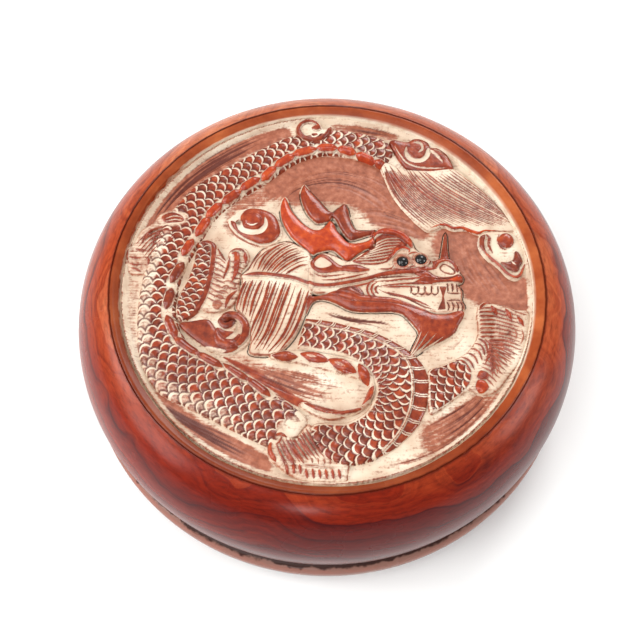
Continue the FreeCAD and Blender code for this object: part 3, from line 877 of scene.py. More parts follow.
# %% [markdown]
# The carving is one piece of wood with the lid. Each figure gets a skirt that goes down under the
# ground and is closed there, so it is a solid of its own and no gap shows. It rides on the lid.
# %% Seating a carved piece
def carve(patch, material):
    """Makes a patch's piece: its surface, a skirt down into the ground and a closed foot."""
    patches.append(patch)
    mesh, used = surface(patch)
    tint(patch, mesh, used)
    piece = bpy.data.objects.new(patch.name, mesh)
    scene.collection.objects.link(piece)
    bpy.ops.object.select_all(action="DESELECT")
    piece.select_set(True)
    bpy.context.view_layer.objects.active = piece
    bpy.ops.object.mode_set(mode="EDIT")
    bpy.ops.mesh.select_mode(type="EDGE")
    bpy.ops.mesh.select_all(action="DESELECT")
    bpy.ops.mesh.select_non_manifold()
    bpy.ops.mesh.extrude_region_move(TRANSFORM_OT_translate={"value": (0, 0, -0.4 * MM)})
    bpy.ops.transform.resize(value=(1, 1, 0), center_override=(0, 0, (GROUND - 1.0) * MM))
    bpy.ops.mesh.fill(use_beauty=False)
    bpy.ops.mesh.select_all(action="SELECT")
    bpy.ops.mesh.normals_make_consistent(inside=False)
    bpy.ops.object.mode_set(mode="OBJECT")
    bpy.ops.object.shade_smooth()
    mesh.materials.append(material)
    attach(piece, "lid")
    print(patch.name, "has", len(mesh.polygons), "faces")
    return piece
# %% [markdown]
# Pale pigment was brushed over the carving and wiped off, so it stays in the cuts and on the ground.
# The finish blends three woods (polished brown, orange, and dull) by the colours on the points, then
# lays chalk over them where pigment is held, broken up by flecks and by scrapes along the grain. Last,
# painted shade darkens the narrow cuts and the strips beyond the scales' edges.
# %% Carved wood
BROWN = [(0.3, (0.075, 0.008, 0.003)), (0.5, (0.155, 0.020, 0.006)), (0.72, (0.27, 0.050, 0.018))]
ORANGE = [(0.3, (0.28, 0.016, 0.002)), (0.5, (0.42, 0.038, 0.004)), (0.7, (0.56, 0.080, 0.010))]
DULL = [(0.3, (0.20, 0.045, 0.018)), (0.5, (0.31, 0.085, 0.040)), (0.72, (0.44, 0.16, 0.09))]
CHALK = [(0.3, (0.52, 0.36, 0.25)), (0.5, (0.68, 0.54, 0.40)), (0.75, (0.82, 0.72, 0.58))]
PAINTED_CUT_SHADE = (0.085, 0.010, 0.004)


def carved_wood(name):
    """Polished wood whose cuts hold pale pigment: red is pigment, green is orange, blue is gloss."""
    material, tree, shader = new_material(name)
    place = placed(tree)
    paint = put(tree, "ShaderNodeAttribute", attribute_name="carving").outputs["Color"]
    cream, tone, gloss = put(tree, "ShaderNodeSeparateColor", {0: paint}).outputs
    rub = noise(tree, place, 700.0, 4.0, 0.6)
    flecks = noise(tree, place, 1700.0, 2.0, 0.6)
    wood = blend_colours(tree, tone, ramp(tree, rub, BROWN), ramp(tree, rub, ORANGE))
    polish = calculate(tree, "MULTIPLY", gloss, 1.8, clamp=True)
    wood = blend_colours(tree, polish, ramp(tree, rub, DULL), wood)
    chalk = ramp(tree, noise(tree, place, 120.0, 3.0, 0.55), CHALK)
    patchy = times(tree, less(tree, rub, 0.5), 0.9)
    patchy = calculate(tree, "MULTIPLY_ADD", less(tree, flecks, 0.5), 1.2, patchy)
    held = calculate(tree, "MULTIPLY_ADD", cream, 0.75, 0.30)
    uneven = calculate(tree, "MULTIPLY_ADD", patchy, held, cream)
    scrapes = noise(tree, stretched(tree, place, (220, 2100, 300)), 1.0, 3.0, 0.6)
    scrapes = times(tree, less(tree, scrapes, 0.5), less(tree, 1.0, gloss))
    mask = between(tree, calculate(tree, "MULTIPLY_ADD", scrapes, 1.3, uneven), 0.30, 0.82)
    colour = blend_colours(tree, mask, blend_colours(tree, 0.02, wood, chalk), chalk)
    # Painted shade: the stored shade darkens cuts and scale edges toward the cut colour.
    painted_cavity_shade = put(tree, "ShaderNodeAttribute", attribute_name="painted_cavity_shade").outputs["Fac"]
    colour = blend_colours(tree, times(tree, painted_cavity_shade, 0.9), colour, PAINTED_CUT_SHADE)
    tree.links.new(colour, shader.inputs["Base Color"])
    shine = calculate(tree, "MULTIPLY_ADD", gloss, -0.26, 0.42)
    rough = calculate(tree, "MULTIPLY_ADD", mask, 0.3, shine)
    tree.links.new(rough, shader.inputs["Roughness"])
    shader.inputs["Specular IOR Level"].default_value = 0.42
    bump = put(tree, "ShaderNodeBump", {"Height": flecks, "Strength": 0.3, "Distance": 0.0002})
    tree.links.new(bump.outputs[0], shader.inputs["Normal"])
    return material


carved = carved_wood("carved_wood")
print("the carved wood has", len(carved.node_tree.nodes), "nodes")
# %% [markdown]
# The dragon's long body runs round the panel from the tail fin to the front, between an outer and
# an inner line. Its spine is a row of glossy beads along the inner line. Points on the photo give
# all three.
# %% Body outline
TAIL_TO_FRONT_OUTER = [
    (14.5, 34), (12.6, 37.4), (8, 39.2), (2, 40.2), (-4, 39.6), (-10, 37.8), (-15, 35), (-20, 31.6),
    (-25, 28.2), (-30, 24.2), (-34, 18.5), (-37.2, 11), (-39, 3), (-39.6, -6), (-38.9, -14), (-37, -20),
    (-33.6, -24.6), (-28, -27.6), (-22, -30.5), (-16, -33.5), (-10.5, -36),
]
TAIL_TO_FRONT_INNER = [
    (11.5, 30.2), (8, 32), (4, 33.2), (0, 33.6), (-3.5, 33), (-8, 31), (-12, 27.6), (-16, 24.4),
    (-20.5, 21), (-24.6, 16.6), (-27.6, 10.6), (-30, 5), (-31.6, -1), (-31.4, -8), (-28.6, -13.4),
    (-22, -17.2), (-16, -20.6), (-11, -24), (-6.6, -27), (-3.5, -30), (-5.4, -33.5),
]
SPINE = [
    ((14.2, 29.2), (10.2, 31.6), 0.6), ((9.9, 31.4), (6.1, 33.4), 0.9), ((5.7, 33.7), (1.9, 34.8), 0.9),
    ((1.5, 34.9), (-2.7, 34.9), 0.9), ((-3.2, 34.6), (-8.2, 32.9), 0.8),
    ((-8, 32.8), (-12, 29.8), 0.85),
    ((-12.1, 29.5), (-14.8, 26.3), 0.95), ((-15.6, 26.5), (-19.4, 23.6), 0.8),
    ((-19.6, 23.2), (-23.2, 20.1), 0.6),
    ((-23.6, 19.8), (-26.4, 16.4), 0.9), ((-26.1, 16.2), (-28.4, 11.8), 0.8),
    ((-29.2, 10.6), (-31, 6.9), 0.7),
    ((-30.9, 4.9), (-33, 0.4), 0.15), ((-32.8, -1.4), (-33.6, -5.8), 0.2),
    ((-33.3, -7.8), (-31.1, -12.6), 0.35),
    ((-31.2, -12.8), (-26.3, -16.2), 0.3), ((-26.4, -16), (-21.5, -18.8), 0.3),
    ((-20.8, -18), (-16, -21.6), 0.3),
    ((-15.8, -21.2), (-11.5, -25), 0.3), ((-10.3, -23.7), (-4.6, -26.6), 0.4),
]
outer = drawn(TAIL_TO_FRONT_OUTER, 180)
inner = drawn(TAIL_TO_FRONT_INNER, 180)
body = Patch("dragon_body", [np.vstack([outer, inner[::-1]])])
body.height += 1.0 * rounded_edge(body.inset, 1.8)
body.cream[:] = 0.85
print("the spine has", len(SPINE), "beads")
# %% [markdown]
# Each scale is a tilted dome whose free edge faces the tail, lying over the next like a roof tile.
# Modelled one by one they would be hundreds of objects. In a height field each row is written over the
# row before, which gives the overlap, and the pale crescent on each edge is stored as pigment. A dark
# strip just beyond each free edge is painted shadow on the next scale.
# %% Scales
def scaled(patch, line, start, end, along=1.55, across=2.65, first=0.0, seed=1, fade=None, bold=0.18):
    """Overlapping scales beside a line. Their free edges face the line's start."""
    distance, run, side = nearest(line, patch.x, patch.y)
    aside = distance * side
    long_radius = 1.25 * along
    wide_radius = 0.56 * across
    slope, dome, crescent, shade, dark = np.zeros((5, *patch.x.shape))
    lowest = int(math.floor(run.min() / along)) - 2
    highest = int(math.ceil(run.max() / along)) + 2
    rng = np.random.default_rng(seed)
    for row in range(lowest, highest):
        centre = row * along + rng.uniform(-0.1, 0.1)
        offset = first + (row % 2) * across / 2
        near = np.abs(run - centre) < long_radius * 1.2
        if not near.any():
            continue
        column = np.round((aside - offset) / across)
        wobble = np.sin(column * 12.9898 + row * 78.233) * 43758.5453
        wobble = wobble - np.floor(wobble) - 0.5
        v = (aside - offset - column * across + 0.25 * wobble) / wide_radius
        u = (run - centre + 0.28 * wobble) / long_radius
        reach = np.sqrt(u * u + v * v)
        hit = near & (reach < 1)
        facing = np.clip(-u / np.maximum(reach, 1e-6), 0, 1)
        thick = (bold + 0.14 * wobble) * facing**0.9
        slope = np.where(hit, 0.5 - 0.5 * u, slope)
        dome = np.where(hit, 1 - reach**2, dome)
        edge = eased(reach, 1 - thick - 0.10, 1 - thick + 0.04) * eased(facing, 0.15, 0.5)
        crescent = np.where(hit, edge, crescent)
        # Painted shadow: a dark strip just beyond each free edge, where it shades the next scale.
        beyond = near & (reach >= 1) & (reach < 1.2) & (facing > 0.25)
        dark = np.where(hit, 0.0, np.where(beyond, 0.85, dark))
        shade = np.where(hit, wobble, shade)
    region = eased(aside, start, start + 0.25) * (1 - eased(aside, end - 0.25, end))
    if fade is not None:
        region = region * fade
    patch.height += region * (0.45 * slope + 0.38 * dome - 0.30)
    patch.cream = patch.cream * (1 - region) + region * crescent
    patch.orange = patch.orange * (1 - region) + region * (0.22 + 0.5 * shade)
    patch.gloss = patch.gloss * (1 - region) + region * 0.8
    patch.dark = np.maximum(patch.dark, dark * region)
    return aside, run, region
# %% [markdown]
# The scales end short of the spine and under the claws that grip the body. On the left and along
# the outside, hands have worn them, so pigment covers them there.
# %% Body scales and wear
spine_path = np.array([place for start, end, _ in SPINE for place in (start, end)])
outer_gap, _, _ = nearest(outer, body.x, body.y)
inner_gap, _, _ = nearest(spine_path, body.x, body.y)
middle = evenly(smooth_path((outer * 0.58 + inner * 0.42)[::6]), 200)
clear_of_spine = eased(inner_gap, 1.0, 1.3)
under_claw = eased(np.hypot(body.x + 6.0, body.y + 33.5), 2.6, 5.0)
under_claw = under_claw * eased(np.hypot((body.x + 33.6) / 1.6, body.y - 16.0), 1.2, 2.6)
scaled(body, middle, -6.5, 6.5, first=0.4, fade=clear_of_spine * under_claw)
left_side = eased(-body.x, 30, 35) * eased(body.y, -18, -12) * (1 - eased(body.y, 10, 16))
front_left = eased(-body.y, 12, 19) * eased(-body.x, 12, 22)
worn_rows = left_side * (1 - eased(outer_gap, 2.2, 3.4)) * 0.62
worn_rows = np.maximum(worn_rows, front_left * (1 - eased(outer_gap, 2.2, 4.2)) * 0.45)
worn_rows = np.maximum(worn_rows, (1 - eased(outer_gap, 0.3, 1.1)) * 0.35)
body.cream = np.clip(body.cream * (1 - 0.3 * worn_rows) + worn_rows, 0, 1)
body.gloss *= 1 - worn_rows
print("scales cover", round(float((body.gloss > 0.5).mean()), 2), "of the body grid")
# %% [markdown]
# Claws and legs are covered with gouge marks side by side, and the spine's beads are small pointed
# leaves. Both are sets of strokes, so two helpers draw them.
# %% Ribs, leaves and spine
def ribbed(patch, first, second, count, wide=0.5, tall=0.25, taper=(0.2, 0.3), **paint):
    """Raised lines side by side, from one guide line to another."""
    a = drawn(first, 12)
    b = drawn(second, 12)
    for share in np.linspace(0, 1, count):
        patch.stroke(a * (1 - share) + b * share, wide, tall, taper=taper, **paint)


def leaf(patch, start, end, wide, tall, bend=0.0, blunt=0.55, **paint):
    """A pointed, rounded leaf between two points."""
    a = np.array(start, float)
    b = np.array(end, float)
    side = np.array([-(b - a)[1], (b - a)[0]]) / np.linalg.norm(b - a)
    middle = (a + b) / 2 + side * bend
    patch.stroke([a, middle, b], wide, tall, taper=(blunt, blunt), **paint)


for start, end, orange in SPINE:
    start, end = np.array(start), np.array(end)
    reach = 0.07 * (end - start)
    leaf(body, start - reach, end + reach, 2.35, 0.85, blunt=0.25, cream=0.0, orange=orange, gloss=1.0)
carve(body, carved)
# %% [markdown]
# The neck rises from the front, turns under the head and lies over the body. Its inner edge carries
# leaves, and along its outer edge runs a band of belly plates.
# %% Neck outline
NECK_OUTER = [
    (-4.5, -7.2), (0, -7.7), (5, -8.9), (10, -10.3), (14, -12.3), (17.3, -14.6), (19.8, -17.4),
    (20.9, -20.5), (20.9, -24), (20.2, -27.5), (18.5, -31), (15.6, -34.2), (12.4, -36.8), (8, -38.8),
    (3.5, -39.4), (0, -38.4),
]
NECK_INNER = [
    (-6.2, -14.6), (-2, -15.2), (2.5, -16), (6, -17.6), (8.6, -20), (9.8, -23), (9.2, -26),
    (7.6, -28.4), (4, -30.4), (0, -30.4), (-2.6, -31), (-3.8, -33),
]
NECK_LEAVES = [
    ((-11.2, -16.2), (-5.9, -16.6), 1.9, 0.3), ((-5.4, -15.8), (0.4, -17.4), 2.3, 0.55),
    ((0.4, -17), (6.1, -19.8), 2.5, 0.5), ((6.6, -17.8), (8.6, -22.4), 2.0, 0.5),
    ((9.6, -22.7), (7.3, -26.6), 1.5, 0.6), ((-4.4, -26.5), (1.3, -28.7), 1.3, 0.3),
    ((0.9, -28.7), (7.2, -27.5), 1.3, 0.3),
]
PLATE_LINE = [
    (-5, -8.3), (0, -9.6), (5, -10.6), (9, -11.9), (12.6, -13.6), (15.6, -15.8), (17.1, -18.6),
    (17.5, -22), (17.2, -26), (16, -30), (13.9, -33.6), (11.4, -36.4),
]
outer = drawn(NECK_OUTER, 140)
inner = drawn(NECK_INNER, 140)
plates = smooth_path(PLATE_LINE)
neck = Patch(
    "dragon_neck",
    [
        np.vstack([outer, inner[::-1]]),
        closed([
            (-11.5, -15.6), (-6, -14.6), (7, -17), (10.2, -22), (8, -27.2), (1, -30), (-5, -27.5),
            (-4.4, -26), (1, -28), (6.6, -27), (8.6, -22.8), (5.5, -20.8), (-1, -19), (-6, -17.8),
            (-11, -17)
        ])
    ],
)
neck.height += 1.15 * rounded_edge(neck.inset, 1.6)
neck.cream[:] = 0.9
print("the neck has", len(NECK_LEAVES), "leaves")
# %% [markdown]
# The scales follow the neck's middle line, and stop at the line where the plates begin. The plates
# lie a little lower, as on a snake, and narrow double cuts part them.
# %% Neck scales and belly plates
middle = (outer + inner) / 2
gap, _, side = nearest(plates, neck.x, neck.y)
in_scales = eased(-gap * side, 0.2, 0.5)
inner_gap, _, _ = nearest(inner, neck.x, neck.y)
core = within(np.vstack([outer, inner[::-1]]), neck.x, neck.y)
scaled(
    neck, middle[::-1], -6.0, 6.0, along=1.45, across=2.5, first=0.6, seed=4,
    fade=in_scales * eased(inner_gap, 0.5, 1.1) * core
)
plate_band = eased(gap * side, 0.25, 0.5) * core * eased(nearest(outer, neck.x, neck.y)[0], 0.05, 0.3)
neck.cream = neck.cream * (1 - plate_band)
neck.orange = np.where(plate_band > 0.5, 0.25, neck.orange)
neck.gloss = np.maximum(neck.gloss, plate_band)
neck.height -= 0.25 * eased(gap * side, 0.0, 0.5)
neck.stroke(PLATE_LINE, 0.55, 0.28, cream=0.95, taper=(0.05, 0.05))
plate_inner = evenly(plates, 17)
plate_outer = evenly(smooth_path(NECK_OUTER[:-3]), 17)
for index in range(1, 17):
    a = plate_inner[index]
    b = plate_outer[index]
    go = (b - a) / max(np.linalg.norm(b - a), 0.1)
    bow = np.array([go[1], -go[0]]) * 0.35
    for shift in (-0.22, 0.22):
        move = np.array([go[1], -go[0]]) * shift
        neck.stroke([a + move, (a + b) / 2 + bow + move, b + move], 0.3, 0.16, cream=0.9, taper=(0, 0))
print("the neck has", len(plate_inner) - 1, "belly plates")
# %% [markdown]
# The leaves are the mane of the neck, the glossiest part of it. Each is one thick stroke, and the
# largest two have a shallow cut along the middle.
# %% Neck leaves
for start, end, wide, orange in NECK_LEAVES:
    leaf(neck, start, end, 1.35 * wide, 0.6, blunt=0.4, cream=0.0, orange=orange, gloss=1.0)
for start, end, wide, orange in NECK_LEAVES[1:3]:
    leaf(
        neck, np.array(start) * 0.8 + np.array(end) * 0.2, np.array(start) * 0.4 + np.array(end) * 0.6,
        wide * 0.45, -0.25, cream=0.5
    )
neck.height = np.minimum(neck.height, 2.1)
carve(neck, carved)
# %% [markdown]
# The head is the finest part, so its grid is the finest. It is made of the outlines that the carver
# would have marked first: mane, skull, jaw, three prongs of horn and the spike on the nose.
# %% Head outlines
MANE = [
    (-18.6, 2.3), (-17, 4.2), (-14.6, 8.5), (-11.5, 10.3), (-8.8, 11), (-6.2, 9.9), (-4, 8.2), (-3, 5),
    (-3, 0), (-3.4, -2), (-4.6, -6.5), (-6.2, -11), (-8.4, -14.2), (-11, -16), (-15.8, -15.7),
    (-15.8, -12.5), (-17, -8), (-19.2, -5.4), (-18.9, -2), (-18.3, 1),
]
SKULL = [
    (-4, 3.5), (-3.8, 6), (-1.4, 8.2), (1.5, 7.6), (4.3, 6.3), (7, 8.2), (10, 9.8), (10.2, 13.2),
    (13, 14.2), (15.5, 13.7), (17.7, 12), (18.9, 9.5), (20.8, 8.1), (22, 6.6), (24, 7), (25.6, 7.1),
    (27.2, 6.2), (28, 4.2), (28.8, 2.8), (28.6, 1.6), (27.6, 1), (28.5, -0.4), (28.4, -2.6), (28.9, -4),
    (28.3, -5.4), (24, -6), (20, -5.4), (15, -4), (10, -3.6), (5, -3.4), (0.5, -1.8), (-2.5, -1.6),
    (-4, -0.5),
]
JAW = [
    (-4, -2.4), (-2.4, -2.2), (0.3, -1.5), (2.5, -0.9), (5, -0.3), (7.2, -1.9), (10, -2.3), (14, -2.7),
    (17, -3.8), (20, -5), (22.5, -5.9), (25, -5.9), (28.4, -5.2), (28.6, -6.3), (27.5, -8.4),
    (26.6, -10.2), (24.5, -11.8), (21.5, -13.4), (17, -16.4), (16.7, -16.1), (17.8, -13.3),
    (18.9, -10.6), (17.6, -8.3), (15.7, -6.2), (13, -5.6), (9, -5.8), (5, -5.5), (2, -4), (0, -3.2),
    (-2, -3.1), (-3.3, -4), (-4.4, -6.5),
]
HORN = [
    (-9.8, 22.2), (-9, 21), (-8, 18.6), (-5.8, 15.8), (-4.1, 14.4), (-2.9, 13.9), (-1.5, 14.2),
    (-0.3, 15.6), (0.3, 16.3), (1.3, 15.4), (1.8, 14), (3, 12.4), (4.4, 10.9), (6.5, 10.8), (8.5, 11.4),
    (9.8, 12.2), (10, 10.2), (8, 9.2), (6.3, 8), (4.3, 6.3), (2.8, 7.4), (1.4, 8.7), (0, 8.9),
    (-2.2, 8.3), (-3.4, 7.8), (-5.5, 9.6), (-8, 12), (-9.5, 14.5), (-10.4, 17), (-10.6, 20),
]
SECOND_PRONG = [
    (-5.6, 25.4), (-4.5, 24.2), (-2, 21.2), (0, 18.8), (1, 18.4), (0.8, 17.2), (0.2, 16.3),
    (-0.8, 15.9), (-2.3, 15.6), (-3.3, 16.3), (-4.6, 17.8), (-5.7, 20.2), (-6.3, 23),
]
THIRD_PRONG = [
    (3.4, 20.6), (4.2, 19.5), (4.8, 16.8), (5.6, 14.7), (6.3, 14.1), (8.5, 14), (10.2, 14.2),
    (9.8, 13.2), (8, 12.5), (6.2, 11.8), (4.6, 11.6), (3.2, 13.2), (2.2, 15), (1.5, 16.5), (0.6, 17.5),
    (1, 18.5), (2.3, 19.8),
]
SPIKE = [(23.9, 6.9), (24.5, 10), (25, 13), (25.4, 13.8), (25.7, 13), (25.7, 10), (26, 6.9)]
# %% [markdown]
# The forms are then raised one over the other, from the flat mane to the jaw and the horns, each
# with its own roundness. The horns are the glossiest and the most orange, because hands touch them
# first.
# %% Head forms
mane_line, skull_line, jaw_line = closed(MANE), closed(SKULL), closed(JAW)
horn_lines = [closed(HORN), closed(SECOND_PRONG), closed(THIRD_PRONG)]
spike_line = np.array(SPIKE)
head = Patch("dragon_head", [mane_line, skull_line, jaw_line, spike_line, *horn_lines], step=0.115)
head.height += 0.45 * rounded_edge(head.inset, 0.4)
head.cream[:] = 0.9
head.mound(mane_line, 0.35, 1.2)
head.mound(skull_line, 0.55, 1.4)
head.mound(jaw_line, 0.85, 2.2, cream=0.0, orange=0.35, gloss=1.0)
head.mound(horn_lines[0], 0.95, 2.0, cream=0.0, orange=0.95, gloss=1.0)
head.mound(horn_lines[1], 0.95, 2.0, cream=0.0, orange=0.35, gloss=1.0)
head.mound(horn_lines[2], 0.85, 2.0, cream=0.05, orange=0.2, gloss=1.0)
head.mound(spike_line, 0.55, 0.7, cream=0.0, orange=0.2, gloss=1.0)
print("the head grid has", head.x.size, "points")
# %% [markdown]
# The mane is two fans of hair, one hanging and one standing up behind the cheek. Each hair is a
# tapering ridge, with a finer one between each two.
# %% Mane
LOWER_STRANDS = [
    [(-17.3, 1), (-18.4, -2.2), (-19, -5.3)],
    [(-15.8, 1.3), (-17, -2.5), (-17.7, -6.5)],
    [(-14, 1.2), (-15.4, -3), (-16.2, -7.5)],
    [(-12.3, 1.2), (-13.4, -4), (-15.2, -9), (-16, -12)],
    [(-10.8, 1.2), (-12.3, -4), (-14, -10), (-15.5, -13.5)],
    [(-9, 1), (-10.8, -5), (-12.6, -11), (-14.8, -15)],
    [(-7.8, 0.7), (-9.5, -5), (-11, -10), (-13.2, -15)],
    [(-5.5, -0.5), (-7, -6), (-9, -11.5), (-12, -15.5)],
    [(-4, -1), (-5.2, -6), (-7, -11), (-9.7, -15)],
]
UPPER_STRANDS = [
    [(-17, 3.5), (-16.2, 5.6), (-14.3, 8.2)],
    [(-15, 3.6), (-13.6, 7), (-11, 9.5), (-9, 10.3)],
    [(-14, 3.3), (-12.2, 6.4), (-9.8, 8.8), (-7.5, 10.2)],
    [(-13, 3.2), (-11, 6), (-8.6, 8.2), (-6.5, 9.2)],
    [(-12, 3.1), (-9.9, 5.6), (-7.8, 7.2), (-5.8, 8)],
    [(-11, 2.9), (-8.8, 4.9), (-6.4, 6.5), (-4.3, 7.1)],
    [(-9, 2.7), (-7.4, 3.9), (-5.8, 4.8), (-4.2, 5.2)],
]
for strands, wide in ((LOWER_STRANDS, 0.78), (UPPER_STRANDS, 0.62)):
    for strand in strands:
        head.stroke(strand, wide, 0.26, cream=0.0, orange=0.25, gloss=0.7, taper=(0.15, 0.3))
    for first, second in zip(strands[:-1], strands[1:]):
        a = drawn(first, 9)
        b = drawn(second, 9)
        head.stroke(
            a * 0.55 + b * 0.45, 0.46 * wide, 0.16, cream=0.0, orange=0.3, gloss=0.5,
            taper=(0.25, 0.35), sharp=True
        )
print("the mane has", 2 * (len(LOWER_STRANDS) + len(UPPER_STRANDS)) - 2, "hairs")
# %% [markdown]
# A long ridge runs from the mane to the mouth, and over it lies the ear, a leaf with a pale hollow.
# %% Cheek and ear
CHEEK_RIDGE = [
    (-18, 2.4), (-14, 2.7), (-10, 2.3), (-7, 1.8), (-4.5, 0.8), (-2, 0.1), (1, 0.2), (5, 1), (9, 2),
    (12, 2.9), (16, 3.4), (20.2, 3.7),
]
head.stroke(CHEEK_RIDGE, 1.0, 0.42, cream=0.0, orange=0.3, gloss=1.0, taper=(0.06, 0.05))
EAR = [
    (-3.8, 5.5), (-3, 6.8), (-1.5, 7.7), (0, 7.2), (1.5, 5.8), (3, 4.9), (6, 5.2), (9, 3.9), (6, 3.3),
    (3, 3.5), (0, 3), (-2, 3.1), (-3.5, 4.2),
]
head.mound(closed(EAR), 0.4, 1.0, cream=0.1, orange=0.3, gloss=1.0)
head.mound(
    closed([(-2.9, 5.4), (-1.6, 6.7), (0.1, 5.9), (0.8, 4.9), (-1, 4.1), (-2.5, 4.4)]), -0.3, 0.7,
    cream=0.95
)
print("the cheek ridge has", len(CHEEK_RIDGE), "points")
# %% [markdown]
# The brow is a thick curl over the eyes. Under it a fan of pale cuts spreads back to the horn.
# %% Brow
BROW = [(8.5, 12.2), (11, 13.3), (13.4, 13.4), (15.6, 12.6), (17.2, 11.1), (18, 9.4)]
head.stroke(BROW, 1.9, 0.75, cream=0.0, orange=0.75, gloss=1.0, taper=(0.3, 0.15))
head.stroke(
    [(12.2, 6), (13.5, 7.4), (14.7, 8.9), (16, 9.6), (17.4, 9), (17.2, 8.2)], 0.9, 0.4, cream=0.1,
    orange=0.9, gloss=1.0
)
BROW_FAN = [
    (5.2, 5.9), (7.2, 7.6), (8.8, 9.6), (10.4, 12), (13.2, 13), (15.6, 12.2), (17, 10.4), (16.2, 9.6),
    (14.4, 8.9), (13.6, 7.2), (12.4, 5.8), (9, 5.1),
]
head.mound(closed(BROW_FAN), 0.35, 1.0, cream=0.0, orange=0.3, gloss=0.9)
head.stroke(BROW, 1.5, 0.45, cream=0.0, orange=0.75, gloss=1.0, taper=(0.3, 0.15))
for start, middle, end in (
    ((9.5, 10), (12.5, 11.5), (15.3, 11.6)),
    ((9.2, 9.2), (12.5, 10.8), (15.6, 10.9)),
    ((8.8, 8.4), (12.2, 10), (15.2, 10.3)),
    ((8.2, 7.8), (11.8, 9.1), (14.7, 9.7)),
    ((7.6, 7.2), (11, 8.2), (14, 8.9)),
    ((6.6, 6.7), (10, 7.3), (13.6, 8)),
    ((5.8, 6.2), (9.2, 6.5), (13, 7.2)),
    ((7, 5.7), (10.2, 5.8), (12.6, 6.3)),
):
    head.stroke([start, middle, end], 0.42, -0.25, cream=1.0, gloss=0.1, taper=(0.1, 0.15))
print("the brow has", len(BROW_FAN), "points")
# %% [markdown]
# The muzzle is a smooth band that ends in the nose. The mouth's corner is three arcs, and short
# strokes follow the lips.
# %% Muzzle and mouth
head.stroke(
    [(7, 1.4), (11, 2.7), (15, 3.5), (20, 4.2), (23.2, 4.6)], 1.5, 0.35, cream=0.0, orange=0.4,
    gloss=1.0, taper=(0.4, 0.2)
)
head.stroke(
    [(12, 4.4), (14.2, 4.2), (17.8, 4.9), (21.6, 5.6)], 0.5, 0.2, cream=0.2, orange=0.4, gloss=0.5
)
head.stroke([(21.4, 7.4), (22.6, 6), (22.4, 4.6)], 0.8, 0.3, cream=0.1, orange=0.3, gloss=0.8)
MUZZLE_BAND = [
    (18.2, 3.3), (21.2, 3.8), (22.6, 2.9), (24.2, 2.5), (26.3, 2.7), (27.8, 3.3), (28.7, 2.6),
    (28.5, 1.5), (26.5, 1.4), (24, 1.2), (21, 0.8), (18.3, 1.1), (19.6, 2.2),
]
head.mound(closed(MUZZLE_BAND), 0.45, 0.8, cream=0.0, orange=0.25, gloss=1.0)
head.stroke([(25.6, 1.9), (27.2, 2), (28.4, 2.4)], 1.3, 0.1, cream=0.0, orange=0.95, gloss=1.0)
head.stroke([(22.4, 1.8), (24.2, 2), (26, 2.2), (28.2, 3)], 0.4, -0.3, cream=0.0, orange=0.0)
head.stroke(
    [(22.8, 4.6), (23.2, 5.9), (24.6, 6.7), (26.2, 6.5), (27.3, 5.2), (27.6, 3.7)], 1.5, 0.5, cream=0.0,
    orange=0.3, gloss=1.0, taper=(0.1, 0.1)
)
head.stroke(
    [(23.9, 4.9), (24.6, 5.6), (25.8, 5.2), (27, 4), (26.6, 3.3), (25.2, 3.5), (24, 4.3), (23.9, 4.9)],
    0.45, -0.15, cream=0.0, orange=0.0, taper=(0, 0)
)
head.stroke([(10.2, 2), (14, 2.4), (18.6, 2.7)], 0.35, -0.12, cream=0.1)
head.stroke([(8.5, 0.9), (13, 1.5), (18, 1.8)], 0.35, 0.15, cream=0.1, orange=0.3)
head.stroke(
    [(10.4, 0), (14, 0.5), (18.5, 0.9), (23.4, 0.7)], 0.5, 0.3, cream=0.0, orange=0.35, gloss=0.8
)
head.stroke(
    [(10.6, -0.6), (13, -1.7), (16.5, -2.6), (20, -4.4), (22.8, -5.3)], 0.4, -0.2, cream=0.0, orange=0.1
)
for reach in (1.1, 1.9, 2.7):
    corner = [
        (11.3 + reach * math.cos(a) * 1.1, -0.7 + reach * math.sin(a))
        for a in np.linspace(math.radians(115), math.radians(245), 8)
    ]
    head.stroke(corner, 0.6, 0.2, cream=0.0, orange=0.3, gloss=0.6)
for path, wide in (
    ([(12.4, 1.2), (15, 1.7), (18.2, 2.1), (21.6, 2.4)], 0.6),
    ([(11.6, -0.1), (14, 0), (16.6, 0.1), (19.6, 0)], 0.5),
    ([(12.2, -1.2), (15, -2), (18.2, -3), (21.6, -4.6)], 0.6),
    ([(-1.6, 1.4), (1.6, 1.5), (5, 2.2), (8.4, 3.2)], 0.5),
    ([(2.4, -0.6), (5, -0.2), (7.8, 0.5), (10, 1.4)], 0.6),
    ([(10.6, 4.2), (13.2, 4.3), (14, 5.2)], 0.45),
    ([(17, 7.8), (18.4, 8.4), (20.2, 8)], 0.5),
    ([(21.2, 5.2), (21.8, 6.2), (21.4, 7.2)], 0.5),
    ([(-3, 3), (-1.4, 2.3), (1, 2.4), (4, 2.9)], 0.4),
):
    head.stroke(path, wide, 0.2, cream=0.05, orange=0.35, gloss=0.6)
print("the muzzle has", len(MUZZLE_BAND), "points")
